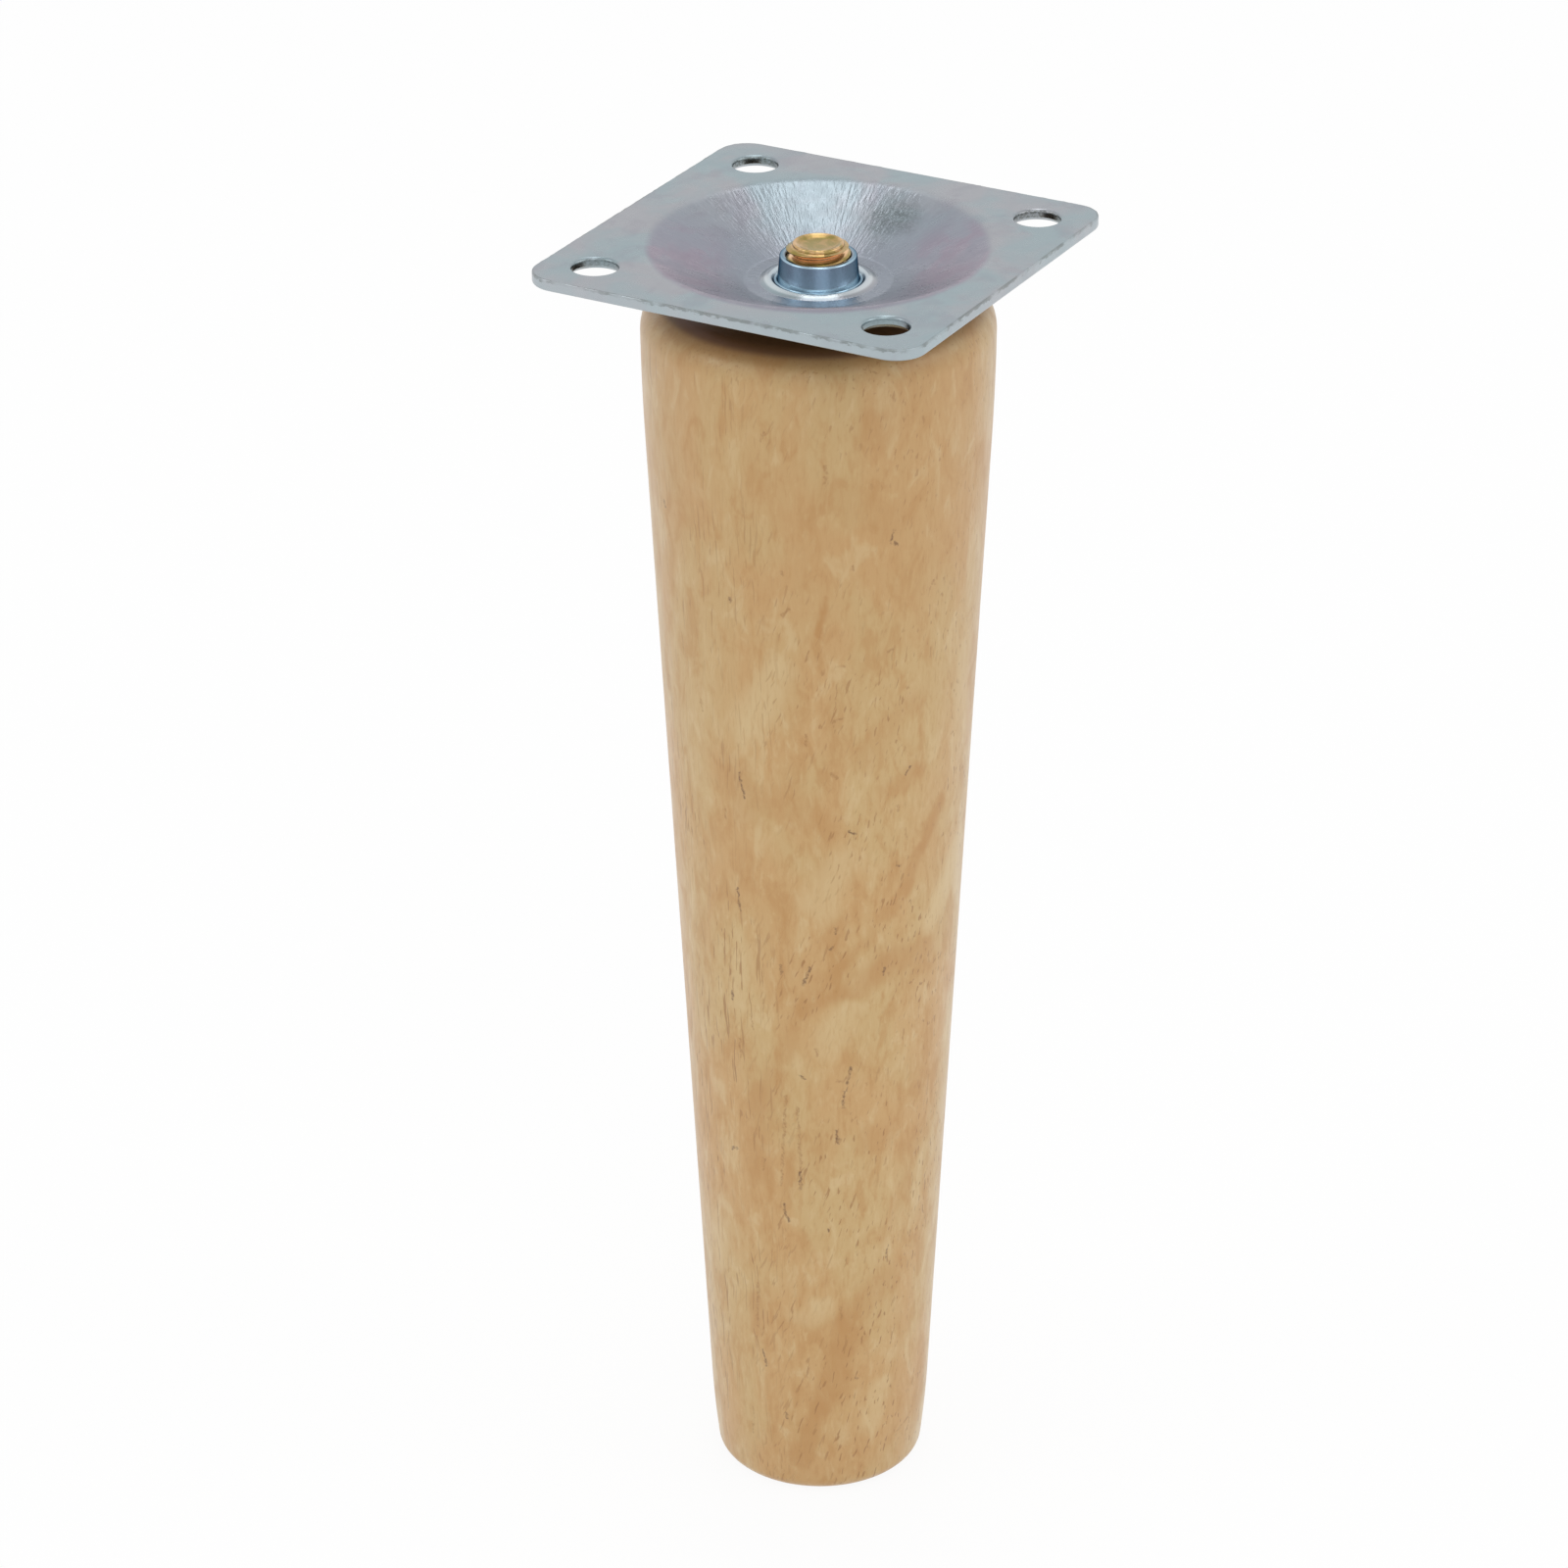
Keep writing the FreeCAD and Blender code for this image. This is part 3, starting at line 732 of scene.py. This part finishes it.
# Figure of the wood: angle and height of each end, width, strength. The ends of these lines and of
# the marks below were picked in the photo, and another script worked out their angles and heights
BROWN_FIGURE = (
    ((-9, 103), (-17, 98), 1.5, 0.60), ((-17, 98), (-26, 93), 1.7, 0.60),
    ((-26, 93), (-35, 89), 1.6, 0.50), ((-40, 87), (-52, 83), 2.0, 0.40),
    ((-53, 83), (-67, 77), 2.4, 0.45), ((-68, 77), (-77, 69), 2.0, 0.40),
    ((-15, 83), (-33, 82), 4.0, 0.55), ((-34, 82), (-51, 79), 3.0, 0.55),
    ((-51, 79), (-67, 76), 2.0, 0.45), ((-53, 90), (-58, 86), 2.0, 0.50),
    ((-96, 110), (-89, 105), 4.0, 0.45), ((-78, 107), (-60, 104), 3.6, 0.35),
    ((-26, 120), (-44, 113), 3.0, 0.35), ((-23, 109), (-36, 108), 2.4, 0.45),
    ((-59, 136), (-61, 131), 0.9, 1.00), ((-44, 159), (-44, 157), 3.0, 0.35),
    ((-57, 150), (-36, 145), 3.4, 0.30), ((-81, 66), (-90, 61), 3.0, 0.50),
    ((-90, 63), (-90, 51), 2.6, 0.50), ((-93, 98), (-89, 94), 2.5, 0.35),
    ((-30, 56), (-38, 56), 3.2, 0.45), ((-19, 47), (-31, 40), 2.2, 0.35),
    ((-27, 34), (-48, 28), 3.6, 0.45), ((-96, 30), (-94, 25), 1.4, 0.60),
    ((-49, 28), (-51, 23), 2.4, 0.60), ((-51, 23), (-61, 14), 2.8, 0.65),
    ((-61, 14), (-73, 5), 2.2, 0.65),
)
CREAM_FIGURE = (
    ((-76, 125), (-88, 117), 3.6, 0.75), ((-52, 98), (-61, 92), 4.0, 0.60),
    ((9, 95), (-8, 87), 3.4, 0.75), ((3, 125), (3, 112), 3.4, 0.50),
    ((-50, 76), (-58, 70), 3.0, 0.50), ((-94, 84), (-97, 76), 3.0, 0.40),
    ((-27, 16), (-33, 11), 2.6, 0.60), ((-62, 30), (-69, 28), 3.0, 0.50),
    ((-120, 40), (-118, 34), 3.0, 0.40),
)

# Faint and dark marks in the wood: angle and height of each end
FAINT_MARKS = (
    ((-79, 157.8), (-80, 156.7)), ((-59, 153.8), (-59, 151.3)), ((-74, 139.3), (-74, 138.8)),
    ((-50, 140.1), (-50, 139.3)), ((-19, 135.6), (-19, 135.1)), ((-72, 134.1), (-74, 133.2)),
    ((-35, 127.7), (-37, 127.5)), ((-55, 126.2), (-52, 126.1)), ((-56, 118.6), (-53, 118.9)),
    ((-66, 116.5), (-66, 115.1)), ((-57, 111.1), (-55, 110.5)), ((-99, 103.9), (-99, 102.7)),
    ((-31, 105.1), (-30, 104.2)), ((-27, 101.3), (-26, 99.8)), ((-91, 74.5), (-90, 72.4)),
    ((-54, 65.7), (-51, 65.5)), ((-63, 70.6), (-62, 69.6)), ((-97, 70.2), (-97, 67.4)),
    ((-109, 118.5), (-108, 116.9)), ((-71, 61.5), (-70, 51.6)), ((-76, 63.1), (-79, 49.1)),
    ((-93, 32.8), (-94, 26.1)), ((-51, 30.0), (-51, 28.3)), ((-99, 12.0), (-100, 8.0)),
    ((-6, 8.4), (-15, 7.2)), ((-87, 52.9), (-87, 51.0)), ((-56, 165.6), (-56, 163.9)),
)
DARK_MARKS = (
    ((-125, 143.8), (-124, 143.2)), ((-36, 144.2), (-37, 142.8)), ((-37, 142.8), (-35, 142.2)),
    ((-93, 134.4), (-93, 133.9)), ((-50, 102.6), (-48, 102.2)), ((-26, 110.2), (-28, 109.3)),
    ((-92, 109.8), (-90, 106.4)), ((-95, 92.9), (-94, 89.6)), ((-30, 96.5), (-29, 96.2)),
    ((-55, 88.4), (-55, 88.0)), ((-56, 85.8), (-57, 85.4)), ((-65, 82.9), (-68, 80.2)),
    ((-100, 77.1), (-100, 75.9)), ((-77, 82.8), (-77, 81.4)), ((-34, 81.7), (-35, 80.7)),
    ((-70, 66.6), (-68, 66.0)), ((-48, 67.5), (-50, 64.1)), ((-105, 52.6), (-101, 53.2)),
    ((-51, 63.8), (-51, 61.4)), ((-54, 58.0), (-53, 56.1)), ((-70, 51.6), (-70, 48.8)),
    ((-78, 46.3), (-76, 43.8)), ((-57, 42.6), (-57, 42.4)), ((-91, 22.2), (-90, 19.8)),
    ((-43, 18.5), (-42, 18.3)), ((-27, 38.5), (-28, 36.7)), ((-79, 12.7), (-79, 12.0)),
)


def layered(ground, layers):
    """Colours laid over the ground in their order, each by its own mask."""
    for mask, tint in layers:
        ground = blend_colours(mask, ground, tint)
    return ground


def figure_layers(place, figure, tint):
    """One layer of the tint for each line of the figure."""
    layers = []
    for start, end, width, strength in figure:
        distance = distance_to_line(place, on_leg(*start), on_leg(*end))
        layers.append((graded(distance, width * MM, width * MM * 0.25, 0.0, strength), tint))
    return layers


def draw_marks(place, marks, width):
    """1 along each mark, 0 at the given distance from them all."""
    nearest = None
    for start, end in marks:
        distance = distance_to_line(place, on_leg(*start), on_leg(*end))
        nearest = distance if nearest is None else maths("MINIMUM", nearest, distance)
    return graded(nearest, width * MM, width * MM * 0.3)


def wood_finish(sizes):
    """Pale, close-grained wood under thin satin varnish, with painted shade at its top under the plate."""
    material, shader, place = new_finish("turned_wood")
    squat = 0.6
    ragged = wavering(stretched(place, (1, 1, squat)), 260.0, 3.2)
    ragged = stretched(ragged, (1, 1, 1 / squat))
    broad = noise(stretched(place, (1, 1, 0.5)), 75.0, 3.0, 0.5, 0.6)
    cloudy = noise(stretched(place, (1, 1, 0.42)), 330.0, 4.0, 0.55, 0.8)
    curly = noise(stretched(wavering(place, 400.0, 1.0), (1, 1, 0.3)), 1150.0, 3.0, 0.6)
    grain = noise(stretched(place, (1, 1, 0.16)), 2600.0, 2.0)
    up = height_in(place)
    top = leg_high.z
    lively = graded(up, 105 * MM, 140 * MM, 1.0, 0.62)

    towards_left = vector_maths("DOT_PRODUCT", place, (-0.94, -0.34, 0))
    left_side = graded(towards_left, -2 * MM, 9 * MM)
    upright = stretched(wavering(place, 120.0, 1.2), (1, 1, 0.035))
    vessels = graded(noise(upright, 3300.0, 1.0), 0.61, 0.68)
    slanted = turned(place, (0, -math.radians(20), 0))
    slanted = stretched(wavering(slanted, 300.0, 0.8), (1, 1, 0.13))
    dashes = graded(noise(slanted, 2500.0, 1.5), 0.61, 0.70)
    crowded = graded(noise(stretched(place, (1, 1, 0.4)), 130.0, 2.0), 0.40, 0.60, 0.2, 1.0)
    lines = maths("MAXIMUM", times(vessels, left_side),
                  times(dashes, maths("SUBTRACT", 1.0, times(left_side, 0.7))))
    lines = times(lines, crowded, lively)
    scribbled = wavering(place, 1300.0, 1.0)
    patchy = graded(noise(place, 2400.0, 2.0), 0.38, 0.60, 0.35, 1.0)

    ground = layered(sizes.straw, [
        (graded(broad, 0.40, 0.62), sizes.blush),
        (graded(cloudy, 0.50, 0.68, 0.0, 0.55), sizes.toffee),
        (graded(cloudy, 0.46, 0.32, 0.0, 0.60), sizes.cream),
        (times(graded(curly, 0.52, 0.70, 0.0, 0.42), lively), sizes.toffee),
        (times(graded(curly, 0.46, 0.30, 0.0, 0.38), lively), sizes.cream),
        *figure_layers(ragged, BROWN_FIGURE, sizes.toffee),
        *figure_layers(ragged, CREAM_FIGURE, sizes.cream),
        (graded(grain, 0.52, 0.74, 0.0, 0.30), sizes.toffee),
        (times(lines, 0.72), sizes.pore_and_shade),
        (times(draw_marks(scribbled, FAINT_MARKS, 0.30), patchy, 0.55), sizes.pore_and_shade),
        (times(draw_marks(scribbled, DARK_MARKS, 0.28), patchy, 0.75), sizes.knot_and_shade),
        # Painted shade under the plate: the top of the leg darkens, which also stands for its darker end grain,
        # and its last millimetre goes nearly black
        (graded(up, top - 2.2 * MM, top - 0.8 * MM, 0.0, 0.5), sizes.pore_and_shade),
        (graded(up, top - 0.9 * MM, top - 0.3 * MM, 0.0, 0.85), sizes.knot_and_shade),
        (graded(up, 85 * MM, 160 * MM, 0.0, 0.13), sizes.pore_and_shade),
    ])
    normal = bumped(maths("ADD", lines, times(grain, 0.25)), 0.22, 0.12 * MM, invert=True)
    set_inputs(shader, {
        "Base Color": ground,
        "Roughness": graded(cloudy, 0.3, 0.7, 0.40, 0.52),
        "Coat Weight": 0.45,
        "Coat Roughness": 0.28,
        "Normal": normal,
        "Coat Normal": normal,
    })
    return material


def folded(place):
    """Place on the plate laid flat and folded onto the corner where X and Y are positive."""
    return vector_maths("ABSOLUTE", vector_maths("MULTIPLY", place, (1, 1, 0)))


def distance_to_outline(place, sizes):
    """Distance outwards from the plate's rounded outline, negative inside it."""
    straight = plate_high.x - sizes.corner_radius
    beyond = vector_maths("SUBTRACT", folded(place), (straight, straight, 0))
    outside = vector_maths("MAXIMUM", beyond, (0, 0, 0))
    return maths("SUBTRACT", vector_maths("LENGTH", outside), sizes.corner_radius)


def distance_to_hole(place, sizes):
    """Distance from the axis of the nearest screw hole."""
    half_pitch = sizes.hole_pitch / 2
    return vector_maths("LENGTH", vector_maths("SUBTRACT", folded(place), (half_pitch, half_pitch, 0)))


def ring(radius, rising, full, falling, gone):
    """1 in a ring around the axis that fades at both sides, with its radii in millimetres."""
    return times(graded(radius, rising * MM, full * MM), graded(radius, gone * MM, falling * MM))


def zinc_finish(sizes):
    """Bright zinc plating with faint tints, torn edges and a fine crystalline grain, and painted light and
    shade in its dish.
    """
    material, shader, place = new_finish("bright_zinc")
    radius = from_axis(place)
    forward = vector_maths("DOT_PRODUCT", place, FRONT)
    to_side = maths("ABSOLUTE", vector_maths("DOT_PRODUCT", place, RIGHT))
    tone = noise(place, 95.0, 3.0, 0.55, 0.5)
    blotch = noise(stretched(place, (1.3, 1, 1)), 150.0, 3.0, 0.6, 0.4)
    speckle = noise(place, 3400.0, 2.0, 0.6)
    greenish = maths("MAXIMUM", graded(tone, 0.36, 0.64), graded(forward, 18 * MM, 28 * MM, 0.0, 0.8))

    # The dish is tinted a little further out at the front than at the left and right
    to_front = times(maths("MAXIMUM", forward, 0.0), 0.055)
    tinted_radius = maths("SUBTRACT", maths("ADD", radius, times(to_side, 0.05)), to_front)
    in_dish = times(graded(tinted_radius, 22.6 * MM, 21.2 * MM), graded(radius, 6.8 * MM, 7.6 * MM))
    # The front wall of the dish gets the pinkish tint, which is also painted shade there
    front_wall = times(in_dish, graded(radius, 9 * MM, 17 * MM), graded(forward, -8 * MM, 8 * MM))
    pink_and_shade = maths("MULTIPLY_ADD", front_wall, 0.7, graded(blotch, 0.50, 0.66, 0.0, 0.2))
    flank = times(graded(to_side, 9 * MM, 15 * MM), graded(forward, -12 * MM, -3 * MM), in_dish)
    from_stain = vector_maths("SUBTRACT", wavering(place, 500.0, 3.0), STAIN_CENTRE)
    stain = graded(vector_maths("LENGTH", from_stain), 5.4 * MM, 1.2 * MM, 0.0, 0.75)
    collar = ring(radius, 3.9, 4.6, 5.2, 6.6)
    crest = ring(radius, 5.3, 5.6, 6.5, 6.9)

    outwards = distance_to_outline(place, sizes)
    edge_noise = noise(stretched(place, (1, 1, 2)), 900.0, 3.0, 0.65)
    burr_height = maths("ADD", height_in(place), times(maths("SUBTRACT", edge_noise, 0.5), 1.4 * MM))
    rim = plate_high.z
    burr = times(graded(outwards, -0.30 * MM, -0.12 * MM),
                 graded(burr_height, rim - 0.42 * MM, rim - 0.24 * MM),
                 graded(noise(place, 330.0, 2.0), 0.38, 0.60, 0.05, 0.48))
    hole = sizes.hole_radius
    inside_hole = graded(distance_to_hole(place, sizes), hole + 0.16 * MM, hole + 0.04 * MM)
    # Torn colour fades on the front holes, which leaves their walls lighter as painted light where they reflect
    # the bright floor
    torn = times(inside_hole, graded(speckle, 0.36, 0.60, 0.1, 0.65),
                 graded(forward, -5 * MM, 15 * MM, 1.0, 0.25))

    skin = layered(sizes.zinc, [
        (greenish, sizes.sea),
        # Painted shade and light: darker plating of the drawn wall at the front and sides, and a lighter far
        # wall where the top lamp reflects
        (times(in_dish, graded(forward, -16 * MM, -4 * MM, 0.35, 0.95)), sizes.steel_and_shade),
        (pink_and_shade, sizes.mauve_and_shade),
        (times(flank, graded(blotch, 0.42, 0.58, 0.2, 0.6)), sizes.rose),
        (times(stain, graded(speckle, 0.42, 0.54, 0.3, 1.0)), sizes.tarnish),
        (collar, sizes.azure),
        (times(crest, 0.6), sizes.burnish),
        (graded(outwards, -0.15 * MM, -0.03 * MM, 0.0, 0.25), sizes.burnish),
        (burr, sizes.fracture),
        (torn, sizes.fracture),
    ])

    smear = noise(place, 420.0, 3.0, 0.6)
    rough = graded(smear, 0.3, 0.7, 0.25, 0.36)
    on_bead = ring(radius, 5.3, 5.6, 7.3, 7.6)
    parts = follow("SeparateXYZ", {0: place})
    bearing = maths("ARCTAN2", parts.outputs["Y"], parts.outputs["X"])
    down_wall = follow("CombineXYZ", {"X": times(bearing, 0.014), "Y": times(radius, 0.16)})
    streaks = noise(down_wall.outputs[0], 2600.0, 2.0, 0.6)
    relief = maths("ADD", times(speckle, 0.5), blend_values(in_dish, smear, 0.0))
    relief = maths("ADD", relief, times(streaks, in_dish, 3.0))
    set_inputs(shader, {
        "Base Color": skin,
        "Metallic": 1.0,
        "Roughness": blend_values(maths("MAXIMUM", collar, on_bead), rough, 0.16),
        "Specular Tint": blend_colours(collar, (1, 1, 1, 1), sizes.smoke),
        "Normal": bumped(relief, blend_values(in_dish, 0.22, 0.6), 0.04 * MM),
    })
    return material


def gold_finish(sizes):
    """Yellow passivated zinc, olive where it is flat and reddish in the roots, where the bright reddish tint is
    also painted light.
    """
    material, shader, place = new_finish("yellow_zinc")
    radius = from_axis(place)
    depth = maths("SUBTRACT", bolt_high.z, height_in(place))
    tone = noise(place, 700.0, 3.0, 0.5, 0.6)
    # Painted light: the thread roots below the end, in the collar's shade, get the bright reddish tint, which
    # is also the reddish passivation
    in_root = times(graded(radius, 3.85 * MM, 3.5 * MM), graded(depth, 0.5 * MM, 0.9 * MM))
    reddish = maths("MAXIMUM", in_root, graded(noise(place, 480.0, 2.0), 0.55, 0.75, 0.0, 0.4))
    on_lip = times(graded(radius, 2.5 * MM, 2.9 * MM), graded(depth, 0.42 * MM, 0.30 * MM))
    skin = layered(sizes.olive, [
        (graded(tone, 0.40, 0.62), sizes.gold),
        (reddish, sizes.copper_and_light),
        (times(on_lip, graded(tone, 0.35, 0.6, 0.1, 0.5)), sizes.copper_and_light),
    ])
    set_inputs(shader, {
        "Base Color": skin,
        "Metallic": 1.0,
        "Roughness": 0.24,
        "Normal": bumped(noise(place, 2200.0), 0.3, 0.03 * MM),
    })
    return material


# Stage

def make_camera(stage):
    start_fresh()
    bpy.ops.object.camera_add(location=tuple(stage.camera_place))
    camera = bpy.context.active_object
    camera.name = "camera"
    turn = Matrix.Rotation(stage.camera_azimuth, 3, "Z")
    pitch = Matrix.Rotation(math.pi / 2 - stage.camera_pitch, 3, "X")
    roll = Matrix.Rotation(-stage.camera_roll, 3, "Z")
    camera.rotation_euler = (turn @ pitch @ roll).to_euler()
    camera.data.lens = stage.camera_lens
    camera.data.sensor_width = 36.0
    camera.data.clip_start = 0.01
    bpy.context.scene.camera = camera


def seen_directly(tree):
    """1 for rays from the camera and for mirror and see-through rays, otherwise 0."""
    path = add_node(tree, "LightPath").outputs
    both = maths("MAXIMUM", path["Is Camera Ray"], path["Is Glossy Ray"])
    return maths("MAXIMUM", both, path["Is Transmission Ray"])


def make_floor(stage):
    start_fresh()
    bpy.ops.mesh.primitive_plane_add(size=stage.floor_width, location=(0, 0, cad_low.z - 0.05 * MM))
    floor = named("floor")
    material = bpy.data.materials.new("white_floor")
    material.use_nodes = True
    tree = material.node_tree
    tree.nodes.clear()
    plain = add_node(tree, "BsdfDiffuse", {"Color": (0.95, 0.95, 0.95, 1)}).outputs[0]
    white = add_node(tree, "Emission", {"Color": (1, 1, 1, 1), "Strength": 1.0}).outputs[0]
    amount = times(seen_directly(tree), 0.92)
    mixed = add_node(tree, "MixShader", {0: amount, 1: plain, 2: white}).outputs[0]
    add_node(tree, "OutputMaterial", {"Surface": mixed})
    wear(floor, material)


def make_room(stage):
    """Even light from the room, white where it is seen, with a darker ceiling for what metal reflects."""
    world = bpy.data.worlds.new("room")
    bpy.context.scene.world = world
    world.use_nodes = True
    tree = world.node_tree
    tree.nodes.clear()
    path = add_node(tree, "LightPath").outputs
    direction = add_node(tree, "TexCoord").outputs["Generated"]
    mirrored = graded(height_in(direction), 0.60, 0.88, stage.room_gleam, stage.ceiling_gleam)
    unlit = blend_values(path["Is Glossy Ray"], stage.room_light, mirrored)
    strength = blend_values(path["Is Camera Ray"], unlit, 1.0)
    light = add_node(tree, "Background", {"Color": (1, 1, 1, 1), "Strength": strength}).outputs[0]
    add_node(tree, "OutputWorld", {"Surface": light})


def add_lamp(stage, name, degrees, elevation, distance, width, length, brightness):
    """Soft lamp aimed at the leg, placed by its angles as seen from the leg.

    degrees is counted clockwise from the camera's side, seen from above.
    """
    start_fresh()
    aim = Vector((0, 0, 0.12))
    around = stage.camera_azimuth - math.pi / 2 - math.radians(degrees)
    rise = math.radians(elevation)
    away = Vector((math.cos(around) * math.cos(rise), math.sin(around) * math.cos(rise), math.sin(rise)))
    bpy.ops.object.light_add(type="AREA", location=aim + away * distance)
    lamp = bpy.context.active_object
    lamp.name = name
    lamp.data.shape = "RECTANGLE"
    lamp.data.size = width
    lamp.data.size_y = length
    lamp.data.energy = brightness * math.pi * width * length
    lamp.rotation_euler = (-away).to_track_quat("-Z", "Y").to_euler()


# Operators and panel

def attach(piece, node, body, material):
    """Body, node and finish that a piece stands for."""
    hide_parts(node)
    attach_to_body(piece, body)
    wear(piece, material)


class FURNITURE_LEG_OT_turned_leg(bpy.types.Operator):
    """Model the turned wooden leg"""
    bl_idname = "furniture_leg.turned_leg"
    bl_label = "Turned Leg"

    def execute(self, context):
        sizes = context.scene.turned_leg
        attach(make_turned_leg(sizes), "wooden_leg", "leg", wood_finish(sizes))
        return {"FINISHED"}


class FURNITURE_LEG_OT_pressed_plate(bpy.types.Operator):
    """Model the pressed mounting plate"""
    bl_idname = "furniture_leg.pressed_plate"
    bl_label = "Pressed Plate"

    def execute(self, context):
        sizes = context.scene.pressed_plate
        attach(make_pressed_plate(sizes), "mounting_plate", "plate", zinc_finish(sizes))
        return {"FINISHED"}


class FURNITURE_LEG_OT_hanger_bolt(bpy.types.Operator):
    """Model the hanger bolt with its two threads"""
    bl_idname = "furniture_leg.hanger_bolt"
    bl_label = "Hanger Bolt"

    def execute(self, context):
        sizes = context.scene.hanger_bolt
        attach(make_hanger_bolt(sizes), "hanger_bolt", "leg", gold_finish(sizes))
        return {"FINISHED"}


class FURNITURE_LEG_OT_stage(bpy.types.Operator):
    """Set up the floor, the light and the camera"""
    bl_idname = "furniture_leg.stage"
    bl_label = "Stage"

    def execute(self, context):
        stage = context.scene.leg_stage
        context.scene.view_settings.view_transform = "Standard"
        make_floor(stage)
        make_room(stage)
        make_camera(stage)
        for lamp in LAMPS:
            add_lamp(stage, *lamp)
        return {"FINISHED"}


class FURNITURE_LEG_PT_panel(bpy.types.Panel):
    """Panel that lists the pieces and the stage"""
    bl_label = "Furniture Leg"
    bl_idname = "FURNITURE_LEG_PT_panel"
    bl_space_type = "VIEW_3D"
    bl_region_type = "UI"
    bl_category = "Furniture Leg"

    def draw(self, context):
        for operator in OPERATORS:
            self.layout.operator(operator.bl_idname)


SETTINGS = {
    "turned_leg": TurnedLegSettings,
    "pressed_plate": PressedPlateSettings,
    "hanger_bolt": HangerBoltSettings,
    "leg_stage": StageSettings,
}
OPERATORS = (
    FURNITURE_LEG_OT_turned_leg,
    FURNITURE_LEG_OT_pressed_plate,
    FURNITURE_LEG_OT_hanger_bolt,
    FURNITURE_LEG_OT_stage,
)


def register():
    for group in SETTINGS.values():
        bpy.utils.register_class(group)
    for entry in OPERATORS + (FURNITURE_LEG_PT_panel,):
        bpy.utils.register_class(entry)
    for name, group in SETTINGS.items():
        setattr(bpy.types.Scene, name, PointerProperty(type=group))


def unregister():
    for name in SETTINGS:
        delattr(bpy.types.Scene, name)
    for entry in (FURNITURE_LEG_PT_panel,) + OPERATORS[::-1]:
        bpy.utils.unregister_class(entry)
    for group in reversed(tuple(SETTINGS.values())):
        bpy.utils.unregister_class(group)


def main():
    register()
    bpy.ops.furniture_leg.turned_leg()
    bpy.ops.furniture_leg.pressed_plate()
    bpy.ops.furniture_leg.hanger_bolt()
    bpy.ops.furniture_leg.stage()


if __name__ == "__main__":
    main()
